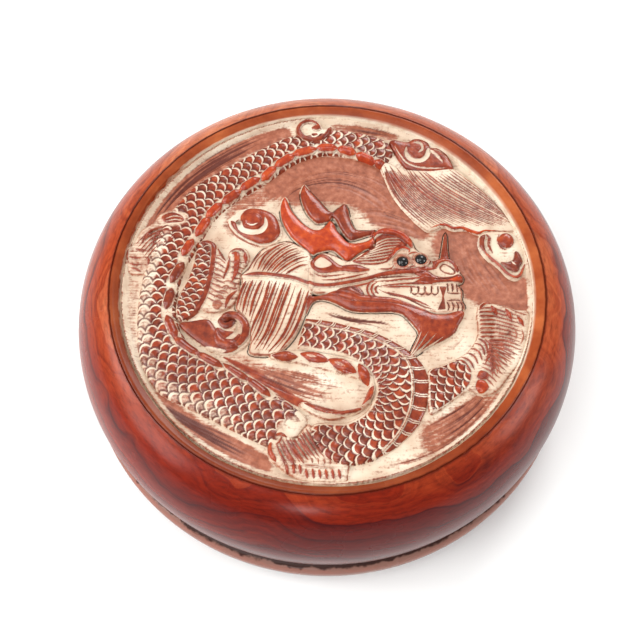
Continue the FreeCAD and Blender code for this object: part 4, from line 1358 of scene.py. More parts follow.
# %% [markdown]
# Teeth are narrow cuts across a pale strip, which is how a carver makes them. A dark gap parts the
# front teeth from the rest, and pale cuts make the tuft of beard under the chin.
# %% Teeth and beard
for across in (17.6, 19.1, 20.5, 21.9, 23.3):
    head.stroke(
        [(across, 0.2), (across + 0.05, -0.8), (across - 0.15, -1.6)], 0.32, -0.3, cream=0.0,
        taper=(0, 0.4)
    )
for across in (18.3, 19.8, 21.2, 22.6):
    head.stroke([(across - 0.7, -1.2), (across, -1.75), (across + 0.7, -1.2)], 0.3, -0.25, cream=0.0)
head.mound(
    np.array([(23.5, 0.3), (25.2, 0.3), (24.5, -2.2), (24.8, -5.1), (23, -5.3), (24, -3), (24.1, -2)]),
    0.15, 0.4, cream=0.0, orange=0.05, gloss=0.6
)
for across in (25.3, 26.3, 27.3, 28.2):
    head.stroke(
        [(across, 0.9), (across + 0.1, 0), (across, -1.1)], 0.28, -0.3, cream=0.0, taper=(0, 0.2)
    )
    head.stroke(
        [(across - 0.3, -3.3), (across + 0.2, -4.2), (across, -5.2)], 0.28, -0.3, cream=0.0,
        taper=(0.2, 0)
    )
head.stroke([(25, -1.2), (26.8, -1.4), (28.4, -1.2)], 0.3, -0.25, cream=0.2)
head.stroke([(25, -3.1), (26.8, -2.8), (28.6, -3.2)], 0.3, -0.25, cream=0.2)
JOWL = [(2, -1), (4, -0.3), (6.2, -0.1), (7.3, -1), (7.7, -2.4), (5, -2)]
head.mound(closed(JOWL), 0.3, 0.8, cream=0.0, orange=0.1, gloss=1.0)
for start, middle, end in (
    ((19.6, -10.2), (18.6, -12.6), (17, -15.9)),
    ((21, -10.4), (19.4, -12.9), (17.2, -16)),
    ((22.6, -10.8), (20.6, -13), (17.6, -15.8)),
    ((24.4, -11.2), (21.8, -13), (18, -15.6)),
):
    head.stroke([start, middle, end], 0.42, -0.35, cream=0.85, taper=(0.5, 0.2))
print("the jowl has", len(JOWL), "points")
# %% [markdown]
# The eyes are real beads, pressed into the wood and kept from the CAD model. Each needs a raised
# ring of wood round it, just high enough to hold it.
# %% Eye sockets
EYES = ((15.9, 5.9), (19.8, 6.5))
RING_TOP = 1.55

for eye_x, eye_y in EYES:
    turns = np.linspace(0, 2 * math.pi, 24)
    ring = [(eye_x + 1.75 * math.cos(a), eye_y + 1.75 * math.sin(a)) for a in turns]
    head.stroke(ring, 0.55, 0.4, cream=0.55, orange=0.3, taper=(0, 0))
    away = np.hypot(head.x - eye_x, head.y - eye_y)
    lid_ring = eased(away, 1.05, 1.25) * (1 - eased(away, 1.5, 2.0))
    head.height = np.maximum(head.height, RING_TOP * lid_ring)
head.height = np.minimum(head.height, 2.15)
carve(head, carved)
# %% [markdown]
# The tail spreads into a fin of fine hair across the top right. Guide lines were drawn through it,
# and between each two of them strands are laid, each with its own width and tone, so none looks
# copied.
# %% Tail fin
FIN = [
    (11, 31.6), (13.5, 31.6), (16, 30.2), (22, 29.8), (27.5, 30.4), (31, 27.6), (35, 23.4), (38, 19.6),
    (40.4, 15.8), (41.2, 14.2), (38, 14.1), (35, 14.2), (32.6, 13.4), (30, 14.4), (27, 14.3),
    (25, 15.2), (23.6, 14.5), (21.6, 13.9), (19, 16.2), (16, 19.8), (14, 23), (12.6, 26.6),
    (11.6, 29.4),
]
FIN_STRANDS = [
    [(12, 30.6), (12.9, 26.8), (14.8, 22.4), (17.8, 18.4), (21.8, 14.6)],
    [(13.2, 31), (15.4, 27.2), (19, 22.5), (23.6, 18.4), (29.5, 15.2)],
    [(17.6, 29.8), (19.6, 26.4), (23.6, 22.6), (29.6, 19), (38.5, 15.4)],
    [(22, 29.2), (25.4, 26.2), (29.6, 23.2), (34.2, 20.2), (40, 16.6)],
    [(27.2, 30.2), (30.4, 27.4), (33.6, 24.6), (36.4, 21.6), (39.4, 18)],
]
fin = pad("tail_fin", FIN, 0.75, 0.9, 0.92)
rng = np.random.default_rng(7)
for index, (first, second) in enumerate(zip(FIN_STRANDS[:-1], FIN_STRANDS[1:])):
    a = drawn(first, 14)
    b = drawn(second, 14)
    count = 8 if index < 2 else 6
    for number in range(count):
        share = (number + rng.uniform(-0.15, 0.15)) / count
        line = a * (1 - share) + b * share
        start = rng.integers(0, 2)
        wide = rng.uniform(0.30, 0.46)
        fin.stroke(
            line[start:], wide, 0.24, cream=0.0, orange=rng.uniform(0.05, 0.5), gloss=0.5,
            taper=(0.1, 0.35), sharp=True
        )
fin.stroke(FIN_STRANDS[-1], 0.4, 0.2, cream=0.0, orange=0.3)
RUFFLE = [
    (22, 14.6), (23.8, 15.4), (25.4, 15.6), (27, 14.8), (29, 14.9), (31, 14.2), (32.6, 13.7),
    (34, 14.3), (36.5, 14.5)
]
fin.stroke(RUFFLE, 0.6, 0.3, cream=0.0, orange=0.9, gloss=1.0)
carve(fin, carved)
# %% [markdown]
# The cloud behind the horns is a curl: a raised ring with a pale hollow that winds into a ball.
# %% Left cloud
def ball(x, y, wide, high):
    """A round outline."""
    turns = np.linspace(0, 2 * math.pi, 10, endpoint=False)
    return closed([(x + wide * math.cos(t), y + high * math.sin(t)) for t in turns])


LEFT_CURL = [
    (-21.9, 16.4), (-21.6, 14.4), (-20, 12.4), (-17.4, 10.8), (-14.5, 9.5), (-11.7, 10.2), (-9.9, 12.4),
    (-10.5, 15.5), (-12, 18.2), (-15.6, 19.4), (-19.4, 18.8),
]
curls = pad("cloud_left", LEFT_CURL, 0.35, 0.4, 0.92)
curls.mound(
    closed([
        (-21.3, 15.9), (-20.6, 14), (-18.8, 12.2), (-16.6, 10.9), (-14.4, 10.2), (-12, 10.8),
        (-10.5, 12.8), (-10.9, 15.6), (-12.3, 17.8), (-15, 19), (-17.8, 18.9), (-19.2, 17.2),
        (-19.4, 15.4)
    ]),
    0.9, 1.6, cream=0.0, orange=0.4, gloss=0.9
)
curls.stroke(
    [(-19.6, 16.2), (-19, 14), (-17, 13), (-14.8, 13.3), (-13.6, 14.9), (-13.9, 16.6)], 1.7, -0.75,
    cream=0.95, orange=0.3, taper=(0.05, 0.3)
)
curls.mound(ball(-16.4, 15.9, 1.75, 1.55), 0.35, 1.2, cream=0.0, orange=0.5, gloss=1.0)
curls.stroke([(-17.9, 14.9), (-16.6, 14.4), (-15.3, 14.9)], 0.35, 0.1, cream=0.9)
curls.stroke(
    [(-22.2, 16.4), (-21.5, 14.2), (-19.8, 12.2), (-17.2, 10.6), (-14.6, 9.6)], 0.4, 0.25, cream=0.0,
    orange=0.3
)
carve(curls, carved)
# %% [markdown]
# A small hook of cloud peeps over the body at the top, a single thick stroke on a pad.
# %% Top cloud
TOP_HOOK = [
    (-7.9, 40), (-6.8, 42), (-4.6, 42.9), (-2.4, 42.2), (-1.2, 40.4), (0.2, 41.2), (0.9, 40.2),
    (-0.2, 38), (-1.6, 36.6), (-4.2, 36.2), (-6.8, 37.2),
]
upper = pad("cloud_top", TOP_HOOK, 1.15, 0.9, 0.8)
upper.stroke(
    [
        (0.2, 40.6), (-0.6, 38.6), (-2.2, 37.3), (-4.4, 37), (-6.4, 38), (-7.2, 39.9), (-6.4, 41.5),
        (-4.8, 42.1), (-3.2, 41.6), (-2.2, 40.4)
    ],
    1.2, 0.7, cream=0.0, orange=0.25, gloss=0.8, taper=(0.05, 0.2)
)
upper.stroke(
    [(-2.2, 40.6), (-3.2, 40.2), (-4.2, 40.3)], 1.6, 0.6, cream=0.0, orange=0.3, gloss=0.8,
    taper=(0.1, 0.4)
)
carve(upper, carved)
# %% [markdown]
# The cloud beside the fin is a polished head with a pale spiral cut into it. It is painted brown
# first, and the cuts bring the pigment back.
# %% Right top cloud
RUYI = [
    (13.4, 37.1), (14.6, 37.9), (16.2, 37.5), (17.6, 37.4), (19, 38.2), (21, 38.2), (22.5, 37.4),
    (22.8, 35.9), (24.4, 35.9), (25.6, 35.4), (26.8, 33.4), (27.8, 30.1), (26, 29.6), (22, 29.3),
    (17.8, 29.8), (16, 31.6), (14.6, 34.2),
]
ruyi = pad("cloud_right_top", RUYI, 0.4, 0.5, 0.2, 0.25)
ruyi.gloss[:] = 0.8
ruyi.height += 0.55 * rounded_edge(ruyi.inset, 1.6)
ruyi.stroke(
    [(22.3, 35.6), (21.8, 33.4), (20.2, 32.2), (18.2, 32.6), (17.2, 34.2), (17.3, 35.8)], 1.4, -0.6,
    cream=0.95, gloss=0.1, taper=(0.1, 0.25)
)
ruyi.stroke(
    [(22.4, 35.2), (24, 33.6), (25.4, 31.6)], 0.9, -0.25, cream=0.75, gloss=0.2, taper=(0.1, 0.5)
)
ruyi.stroke(
    [(18.9, 37), (20.4, 36.8), (20.9, 35.4), (20, 34.3)], 0.7, -0.35, cream=0.8, gloss=0.2,
    taper=(0.2, 0.2)
)
ruyi.stroke(
    [(14.6, 36), (15.8, 33.6), (17.6, 31.2), (21, 30.2), (26.6, 30.3)], 0.4, -0.2, cream=0.85, gloss=0.2
)
ruyi.stroke([(23.2, 35.2), (25, 34.6), (26.4, 32.8)], 0.3, -0.15, cream=0.7, gloss=0.2)
carve(ruyi, carved)
# %% [markdown]
# The cloud in front of the nose has a ball, a leaf and a raised line along its lower left edge.
# %% Right cloud
RIGHT_CLOUD = [
    (34.2, 14.2), (32.8, 13.2), (32.3, 11), (32.8, 9), (34.4, 7.2), (36.6, 5), (38.2, 3), (39.8, 2.3),
    (41.2, 3.1), (42.6, 6.4), (42.6, 9), (41.8, 12), (40.8, 13.8), (38, 14.4),
]
right = pad("cloud_right", RIGHT_CLOUD, 0.4, 0.5, 0.92)
right.stroke(
    [(33.9, 13.4), (33.2, 12), (33.2, 10.2), (34, 8.6)], 1.3, 0.7, cream=0.0, orange=0.15, gloss=0.8,
    taper=(0.2, 0.4)
)
right.stroke(
    [(33.4, 9.4), (34.6, 7.8), (36.4, 6), (38.2, 3.9), (39.8, 3), (40.9, 3.5), (41.6, 5), (42.2, 6.4)],
    0.75, 0.5, cream=0.0, orange=0.6, gloss=0.9, taper=(0.1, 0.2)
)
right.mound(ball(38.4, 11.9, 1.7, 1.9), 0.75, 1.2, cream=0.0, orange=0.4, gloss=1.0)
right.mound(
    closed([
        (36.9, 6.5), (38.5, 4.7), (40.4, 4.3), (41, 5.6), (41.7, 6.8), (40.9, 9.1), (40.1, 9.2),
        (39.7, 7.4), (38.4, 6.6)
    ]),
    0.65, 0.8, cream=0.05, orange=0.1, gloss=0.8
)
right.stroke([(38.9, 7), (39.5, 6.2), (40.2, 5.6)], 0.4, 0.1, cream=0.8)
right.stroke(
    [(34, 13.6), (34.8, 12.6), (34.6, 10.6), (35.4, 8.8)], 0.9, 0.35, cream=0.3, orange=0.3, gloss=0.6
)
right.stroke(
    [(37, 13.6), (36.6, 12), (37.2, 10.2), (38.6, 9.6)], 0.5, 0.3, cream=0.1, orange=0.3, gloss=0.6
)
carve(right, carved)
# %% [markdown]
# The lower cloud lies in the bend of the body: a leaf that ends in a thick curl.
# %% Lower cloud
LOWER_CURL = [
    (-31, -9.3), (-28, -8.3), (-25.4, -7.8), (-23.4, -8.2), (-22.6, -7), (-21.4, -6.2), (-19.6, -5.8),
    (-17.4, -6.6), (-15.9, -8.6), (-15.4, -11), (-16.2, -13.6), (-18.4, -15.4), (-21, -16.2),
    (-24.6, -15), (-28, -12.4),
]
lower = pad("cloud_lower", LOWER_CURL, 0.5, 0.6, 0.9)
lower.mound(
    closed([
        (-30.8, -9.4), (-27.8, -8.4), (-25, -8), (-23.8, -9), (-22.8, -10.6), (-21.4, -12.4),
        (-19.4, -12.8), (-18.2, -14.6), (-20.6, -15.8), (-24, -15), (-27.6, -12.6)
    ]),
    0.6, 1.2, cream=0.1, orange=0.2, gloss=0.7
)
lower.stroke(
    [
        (-20.6, -14.8), (-18.2, -13.6), (-16.9, -11.4), (-17, -9.2), (-18.4, -7.5), (-20.3, -7),
        (-21.9, -7.9)
    ],
    1.9, 0.8, cream=0.0, orange=0.2, gloss=1.0, taper=(0.35, 0.05)
)
lower.mound(
    closed([
        (-23, -10), (-21, -10.6), (-19.2, -10.8), (-17.8, -11.6), (-18.2, -13.6), (-20.4, -14.6),
        (-22.8, -13.6)
    ]),
    0.35, 1.0, cream=0.1, orange=0.3, gloss=0.7
)
lower.stroke(
    [(-20.9, -12.6), (-19.4, -11.8), (-18.5, -10.4), (-18.7, -9)], 1.3, -0.35, cream=0.95, gloss=0.1,
    taper=(0.3, 0.3)
)
lower.mound(
    closed([(-22.8, -8.4), (-21.6, -7), (-20, -7.6), (-19, -8.3), (-19.9, -9.9), (-21.6, -10.1)]), 0.55,
    0.8, cream=0.0, orange=0.1, gloss=1.0
)
lower.stroke(
    [(-21.6, -8.8), (-20.6, -8.6), (-19.8, -8.1), (-18.8, -8.5)], 0.5, -0.5, cream=0.1, taper=(0.2, 0.2)
)
lower.stroke([(-26, -14.4), (-23, -15.2), (-20.5, -15.4)], 1.3, 0.0, cream=0.8)
carve(lower, carved)
# %% [markdown]
# The left leg comes out behind the body. It has scales along one side and a soft paw with short
# fingers on the other, made of ribs, strokes and leaves on a dull pad.
# %% Left leg
LEFT_LEG = [
    (-28, 10.2), (-26.4, 11), (-24.6, 10.4), (-23.5, 8.9), (-21.8, 6.2), (-21.2, 8.2), (-19.5, 9.3),
    (-17.6, 8.9), (-16.7, 7), (-17.2, 5), (-18.2, 3.6), (-18.6, 0.8), (-18.5, -1.6), (-19.4, -4.2),
    (-21.6, -6), (-24.4, -6.6), (-26.4, -6), (-28, -7.2), (-30.2, -9), (-31.8, -7), (-31.6, -3),
    (-30, 0.5), (-28.8, 5),
]
leg = pad("left_leg", LEFT_LEG, 0.85, 1.0, 0.72, 0.3)
ribbed(
    leg, [(-24.2, 6.6), (-22.9, 6), (-21.8, 5)], [(-25.4, -3), (-23.4, -4.2), (-21.4, -4.6)], 9, 0.36,
    0.22, cream=0.1, orange=0.3, gloss=0.5
)
ribbed(
    leg, [(-20.9, 5.6), (-19.2, 5.2), (-17.7, 5.4)], [(-20.6, -0.6), (-19.6, -1), (-18.9, -0.6)], 6,
    0.4, 0.22, cream=0.1, orange=0.3, gloss=0.5
)
leg_line = smooth_path([(-25.8, 10.6), (-26.6, 6), (-27.4, 1), (-28.5, -4), (-30.4, -9)])
leg_region = closed([
    (-28, 9.6), (-26, 9.8), (-25.2, 7), (-25.4, 2), (-26.4, -3), (-28.6, -7.4), (-30.4, -8.6),
    (-31.4, -6), (-31, -3), (-29.6, 1), (-28.6, 5)
])
scaled(
    leg, leg_line, -4, 4, along=1.2, across=2.3, first=0.3, seed=9,
    fade=eased(np.where(within(leg_region, leg.x, leg.y), 1.0, 0.0), 0.0, 1.0)
)
leg.stroke(
    [
        (-27.7, 10), (-26.1, 10.4), (-24.7, 9.6), (-24.5, 7), (-24.7, 3.6), (-25.2, 0), (-26, -3.2),
        (-27.4, -6.2), (-29.3, -8.3)
    ],
    1.25, 0.35, cream=0.05, orange=0.2, gloss=0.8, taper=(0.1, 0.2)
)
leaf(leg, (-23.7, 9), (-21.9, 5.8), 1.3, 0.4, cream=0.0, orange=0.2, gloss=0.8)
leg.stroke([(-21, 6.8), (-21.3, 4.2), (-22.2, 1.2)], 0.65, 0.35, cream=0.0, orange=0.3, gloss=0.8)
leg.stroke(
    [(-20.7, 7.6), (-19.6, 7.2), (-19.4, 5), (-19.6, 2.6), (-20.4, 0.5)], 1.5, 0.6, cream=0.0,
    orange=0.5, gloss=1.0, taper=(0.15, 0.5)
)
leg.stroke(
    [(-21.4, 7.9), (-20, 8.6), (-18.4, 8.4), (-17.9, 7.7)], 0.7, 0.4, cream=0.0, orange=0.2, gloss=0.8
)
leaf(leg, (-17.8, 8), (-17.5, 5.1), 1.2, 0.4, cream=0.0, orange=0.5, gloss=0.8)
leg.stroke([(-22.2, 0.6), (-21, 0.9), (-19.8, 0.2), (-19.4, -1)], 0.45, 0.25, cream=0.0, orange=0.2)
leg.stroke([(-22.4, -0.6), (-21.2, -0.3), (-20.4, -1.2)], 0.4, 0.2, cream=0.05, orange=0.2)
leg.stroke([(-23, -1.6), (-21.8, -1.5), (-20.8, -2.2)], 0.4, 0.2, cream=0.05, orange=0.2)
leg.stroke([(-24, -3.2), (-22.8, -2.6), (-21.6, -3.4)], 0.5, 0.25, cream=0.05, orange=0.2)
leg.mound(
    closed([(-24, -4), (-22.8, -3.6), (-22, -4.6), (-22.8, -5.9), (-24, -5.4)]), 0.25, 0.6, cream=0.3,
    orange=0.4
)
leaf(leg, (-19, -1.2), (-21.4, -5.5), 1.3, 0.4, bend=-0.5, cream=0.0, orange=0.2, gloss=0.8)
for y in (6.8, 5.0, 3.2, 1.4, -0.4):
    leg.stroke([(-24.0, y), (-23.2, y + 0.3), (-22.6, y - 0.2)], 0.3, 0.12, cream=0.35, orange=0.2)
carve(leg, carved)
# %% [markdown]
# The left foot grips over the body to the rim. Its fingers are rows of short strokes, worn pale.
# %% Left claws
CLAWS = [
    (-36.8, 17.4), (-34.2, 18.3), (-31.6, 17.6), (-30.6, 15.6), (-30.2, 13.2), (-29.6, 11.4),
    (-31.4, 9.4), (-34, 7.4), (-36.6, 5), (-38, 2.8), (-41.6, 2.2), (-43.2, 4.4), (-43.4, 8.2),
    (-42, 10.4), (-40.6, 13.2), (-38.4, 15),
]
claws = pad("left_claws", CLAWS, 0.75, 0.9, 0.62, 0.3)
ribbed(
    claws, [(-31, 14.6), (-35, 14), (-38.6, 12.6), (-41.4, 9.6)],
    [(-31.4, 10.6), (-34, 9.2), (-36.4, 7.2), (-38.2, 3.8)], 8, 0.42, 0.3, cream=0.1, orange=0.25,
    gloss=0.5
)
claws.mound(
    closed([
        (-36.4, 16.4), (-34.6, 17.6), (-32.4, 17.3), (-31.2, 16.2), (-31.2, 15.2), (-33.2, 14.7),
        (-35.4, 14.9)
    ]),
    0.35, 0.8, cream=0.2, orange=0.2, gloss=0.6
)
for places in (
    [(-35.6, 15.8), (-33.6, 16.6), (-31.6, 16.2)],
    [(-35.4, 15.2), (-33.4, 15.7), (-31.4, 15.4)],
):
    claws.stroke(places, 0.3, -0.15, cream=0.85)
claws.stroke(
    [(-35.4, 12.4), (-33.6, 13), (-31.6, 12.6), (-30.4, 11.4)], 1.0, 0.45, cream=0.0, orange=0.1,
    gloss=0.8
)
claws.stroke(
    [(-34, 9.6), (-33.6, 11.2), (-32.2, 11.7), (-31, 10.9)], 0.9, 0.4, cream=0.0, orange=0.4, gloss=0.8
)
claws.stroke([(-33, 8.6), (-32.6, 9.6), (-31.6, 9.6)], 0.7, 0.3, cream=0.05, orange=0.4, gloss=0.8)
for places in (
    [(-36, 14.2), (-38.2, 12.8), (-39.7, 10.2)],
    [(-37.4, 13.8), (-39.4, 11.6), (-40.2, 9.6)],
    [(-35.6, 13.4), (-37.2, 11.6), (-37.7, 9)],
    [(-34.9, 12.4), (-36.2, 10.8), (-36.4, 8.6)],
    [(-34.6, 11), (-35.2, 9.6), (-35.2, 8)],
    [(-42.9, 8.4), (-43, 6.6), (-42.6, 5)],
    [(-42.6, 6.4), (-41.2, 6.1), (-39.8, 6.2)],
    [(-42.4, 4.9), (-41, 4.4), (-39.9, 4.7)],
    [(-42, 3.8), (-40.8, 3.4), (-39.6, 2.8)],
    [(-41.4, 8.4), (-40, 8), (-38.8, 8)],
    [(-38.8, 6.6), (-38.2, 5.4), (-38.4, 4.2)],
    [(-37.4, 7.2), (-36.8, 6), (-36.9, 4.9)],
):
    claws.stroke(places, 0.55, 0.28, cream=0.1, orange=0.25, gloss=0.5)
carve(claws, carved)
# %% [markdown]
# The right leg leaves the neck with scales and ends in an open claw under the right edge. First
# come the pad, its ribs and the scales.
# %% Right leg
RIGHT_LEG = [
    (20.8, -18.8), (23, -17.8), (25.5, -16.6), (28, -15.2), (29.8, -13.4), (31, -11), (31.2, -8.5),
    (31.1, -6.2), (31.6, -4.1), (33.2, -2.8), (35, -3.3), (37.5, -3.7), (39.5, -4.6), (42, -4.9),
    (42.4, -7), (41.9, -10), (41.2, -13), (39.6, -17), (37.2, -20), (34.9, -23), (32.6, -24.2),
    (30.4, -23.8), (28.6, -23.4), (26, -25.2), (23.5, -27.2), (21, -28.6), (20.4, -26), (20.6, -22),
]
claw = pad("right_leg", RIGHT_LEG, 0.95, 1.2, 0.78, 0.3)
ribbed(
    claw, [(31.4, -5), (34, -4.6), (37.4, -5.6), (40.6, -6.6)],
    [(33.2, -13.2), (35.4, -13), (37.8, -13.4), (40, -14.2)], 10, 0.42, 0.25, cream=0.12, orange=0.3,
    gloss=0.5
)
ribbed(
    claw, [(33.2, -13.4), (36.4, -14), (39.4, -15.4)], [(31, -19.6), (32.6, -20.8), (34, -22.4)], 9,
    0.42, 0.25, cream=0.1, orange=0.35, gloss=0.5
)
scale_region = closed([
    (21.2, -19.2), (24, -18), (27.2, -16.6), (29.2, -18.4), (29.2, -21), (28, -23), (25.4, -25.2),
    (22.6, -27.2), (21.2, -27), (21.1, -22)
])
claw_line = smooth_path([(30.5, -18), (26.5, -20.6), (23.5, -23), (20, -26)])
scaled(
    claw, claw_line[::-1], -6, 6, along=1.25, across=2.4, first=0.2, seed=12,
    fade=np.where(within(scale_region, claw.x, claw.y), 1.0, 0.0)
)
# %% [markdown]
# Fringes of hair part the leg from the claw, three smooth knuckles lie at the top, and a fan of
# ridges runs to the rim. What repeats with a steady step is drawn in loops.
# %% Right claw
for places, wide in (
    ([(26.4, -16.6), (28.2, -17.2), (29.2, -19.2)], 0.45),
    ([(27.4, -15.8), (29.2, -16.8), (30.2, -18.8)], 0.5),
    ([(28.6, -14.8), (30.2, -15.8), (31, -17.6)], 0.5),
    ([(29.6, -13.8), (31.2, -14.8), (31.8, -16.6)], 0.55),
    ([(30.4, -12.6), (31.9, -13.6), (32.4, -15.6)], 0.55),
    ([(31.2, -11.6), (32.6, -12.8), (33, -15)], 0.6),
    ([(32.6, -11.8), (33.6, -13.2), (33.2, -15.4), (32.4, -17.4)], 0.7),
):
    claw.stroke(places, wide, 0.3, cream=0.0, orange=0.3, gloss=0.7)
for number in range(7):
    y = -5.6 - number * 0.95
    claw.stroke(
        [(31.7, y), (33.4, y + 0.05), (35.2 - 0.1 * number, y - 0.1)], 0.5, 0.28, cream=0.0, orange=0.3,
        gloss=0.7, taper=(0.1, 0.25)
    )
claw.stroke(
    [(31.9, -5.2), (32.3, -4.2), (33.4, -3.5), (34.6, -3.6)], 0.8, 0.35, cream=0.0, orange=0.15,
    gloss=0.8
)
for centre, wide, long in (
    ((34.8, -5.2), 1.5, 2.4), ((37.8, -6.1), 1.4, 2.8), ((40.2, -7.6), 1.3, 2.2)
):
    x, y = centre
    leaf(
        claw, (x - 0.5, y + long / 2), (x + 0.6, y - long / 2), wide, 0.5, cream=0.05, orange=0.5,
        gloss=0.9
    )
for places in (
    [(35.4, -3.9), (37.6, -4.3), (39.4, -5.4)],
    [(38.6, -5), (40.4, -5.8), (41.8, -6.2)],
    [(37.2, -9.2), (38, -10.4), (37.4, -11.2)],
    [(38.6, -9), (39.2, -10.4), (39, -12)],
    [(40.4, -9.4), (40.6, -11.2), (40, -12.8)],
    [(35.4, -10.6), (36.8, -10.8), (38, -10.4)],
):
    claw.stroke(places, 0.4, 0.2, cream=0.15, orange=0.2)
for number in range(12):
    angle = math.radians(-4 - 7.2 * number)
    start = np.array([33.4, -12.0 - 0.42 * number])
    reach = 5.6 - 0.16 * number
    tip = start + reach * np.array([math.cos(angle), math.sin(angle)])
    claw.stroke(
        [start, (start + tip) / 2 + np.array([0.0, 0.25]), tip], 0.5, 0.22, cream=0.1, orange=0.35,
        gloss=0.4, taper=(0.1, 0.5)
    )
claw.mound(
    closed([(30.2, -22.4), (30.8, -21), (32.2, -21.2), (32.9, -22.6), (31.8, -23.8), (30.7, -23.6)]),
    0.45, 0.9, cream=0.0, orange=0.7, gloss=1.0
)
claw.mound(
    closed([(30.6, -20.4), (31.2, -19), (32.6, -19.2), (33, -20.4), (31.8, -20.9)]), 0.35, 0.7,
    cream=0.05, orange=0.4, gloss=0.8
)
claw.height = np.minimum(claw.height, 2.0)
carve(claw, carved)
# %% [markdown]
# The claw at the bottom holds the body where it meets the neck. Its long fingers run down to a row
# of short nails on the rim.
# %% Bottom claw
BOTTOM_CLAW = [
    (-11.4, -36.2), (-10.7, -33.4), (-8.8, -32.5), (-7.2, -33.4), (-5.9, -34), (-4.4, -31.8),
    (-3.2, -30.8), (-2.2, -32.5), (-1.2, -35.3), (0.8, -37.5), (3, -38.7), (4.8, -39.2), (4.6, -41.2),
    (4, -43), (-0.6, -43.1), (-4.5, -42.9), (-7.8, -41), (-9.9, -39.4), (-11.1, -38),
]
bottom = pad("bottom_claw", BOTTOM_CLAW, 1.0, 1.0, 0.72, 0.3)
ribbed(
    bottom, [(-9.8, -35), (-8.6, -37.6), (-7.2, -39.6)], [(-3.2, -31.8), (-1.8, -34.6), (0.8, -38)], 11,
    0.4, 0.24, cream=0.08, orange=0.3, gloss=0.5
)
bottom.stroke(
    [(-10.8, -34.4), (-10.9, -36.6), (-9.6, -39)], 1.1, 0.3, cream=0.0, orange=0.5, gloss=0.8,
    taper=(0.2, 0.2)
)
bottom.stroke(
    [(-10.2, -33.8), (-8.9, -33.1), (-7.6, -33.9)], 1.0, 0.3, cream=0.05, orange=0.3, gloss=0.8
)
for places, wide in (
    ([(-8.6, -33.6), (-9, -34.8), (-9.8, -35.4)], 0.45),
    ([(-9.4, -36), (-8.4, -38.2), (-7.8, -39.6)], 0.5),
    ([(-8.4, -35.4), (-6.8, -38.2), (-5.4, -40.6)], 0.6),
    ([(-7.4, -34.6), (-5.8, -37.2), (-4, -39.4)], 0.55),
    ([(-6.6, -34.2), (-5, -36.4), (-3.2, -38.6)], 0.6),
    ([(-5.6, -33.6), (-4.2, -35.6), (-2.6, -37.6)], 0.5),
    ([(-4.8, -32.6), (-3.4, -34.8), (-1.6, -37.4)], 0.55),
    ([(-4, -31.8), (-2.8, -34), (-1.4, -36.4)], 0.45),
):
    bottom.stroke(places, wide, 0.28, cream=0.05, orange=0.3, gloss=0.6)
bottom.stroke([(-6, -39.4), (-3.6, -39.5), (0, -39.9), (3.9, -39.9)], 0.45, 0.25, cream=0.95)
for number in range(9):
    x = -7.4 + number * 1.28
    y = -41.3 if x > -4.6 else -40.4
    bottom.stroke(
        [(x - 0.15, y + 1.0), (x, y), (x + 0.2, y - 1.0)], 0.75, 0.3, cream=0.05, orange=0.45, gloss=0.7
    )
for number in range(6):
    x = -2.6 + number * 1.2
    bottom.stroke([(x, -38.0 - 0.12 * number), (x + 0.15, -39.3)], 0.35, 0.15, cream=0.2, orange=0.3)
carve(bottom, carved)
# %% [markdown]
# Between the figures the ground is wiped unevenly and scored by the tool. A wash wears pigment off
# along a line, and a comb draws many streaks between two lines, each its own.
# %% Washes and tool marks
def wash(patch, places, wide, amount):
    """Wears pigment off along a line, most in its middle."""
    path = smooth_path(places, spacing=1.0)
    part = patch.window(path, wide)
    distance, _, _ = nearest(path, patch.x[part], patch.y[part])
    patch.cream[part] -= amount * (1 - eased(distance, 0.25 * wide, 0.5 * wide))


def combed(patch, first, second, count, seed, dark, wide=(0.25, 0.6), deep=0.05):
    """Streaks that follow the two lines they lie between, each its own width and darkness."""
    rng = np.random.default_rng(seed)
    a = drawn(first, 24)
    b = drawn(second, 24)
    for _ in range(count):
        share = rng.uniform(0, 1)
        line = a * (1 - share) + b * share
        start = rng.integers(0, 12)
        end = rng.integers(start + 8, 25)
        amount = rng.uniform(*dark)
        width = rng.uniform(*wide)
        path = line[start:end] + rng.normal(0, 0.05, (end - start, 2)).cumsum(axis=0) * 0.4
        part = patch.window(path, width)
        distance, along, _ = nearest(path, patch.x[part], patch.y[part])
        length = np.linalg.norm(np.diff(path, axis=0), axis=1).sum()
        fade = np.clip(np.minimum(along, length - along) / (0.3 * length), 0, 1)
        mask = (1 - eased(distance, 0.1 * width, 0.5 * width)) * fade
        patch.cream[part] -= amount * mask * 0.5
        patch.height[part] -= deep * mask
# %% [markdown]
# The ground is one large patch under all the figures. Where a figure stands on it the grid is left
# out, which keeps the piece light and never shows.
# %% Ground
PANEL_EDGE = 43.4
circle = np.array([
    (math.cos(t), math.sin(t))
    for t in np.linspace(0, 2 * math.pi, 240, endpoint=False)
])
ground = Patch("carved_ground", [circle * PANEL_EDGE], step=0.2)
for patch in patches:
    columns = np.round((ground.x - patch.low[0]) / patch.step).astype(int)
    rows = np.round((ground.y - patch.low[1]) / patch.step).astype(int)
    inside = (columns >= 0) & (rows >= 0) & (columns < patch.x.shape[1]) & (rows < patch.x.shape[0])
    under = np.zeros(ground.x.shape)
    under[inside] = patch.inset[rows[inside], columns[inside]]
    ground.hidden |= under > 0.7
ground.cream[:] = 0.9
print("figures hide", round(float(ground.hidden.mean()), 2), "of the ground")
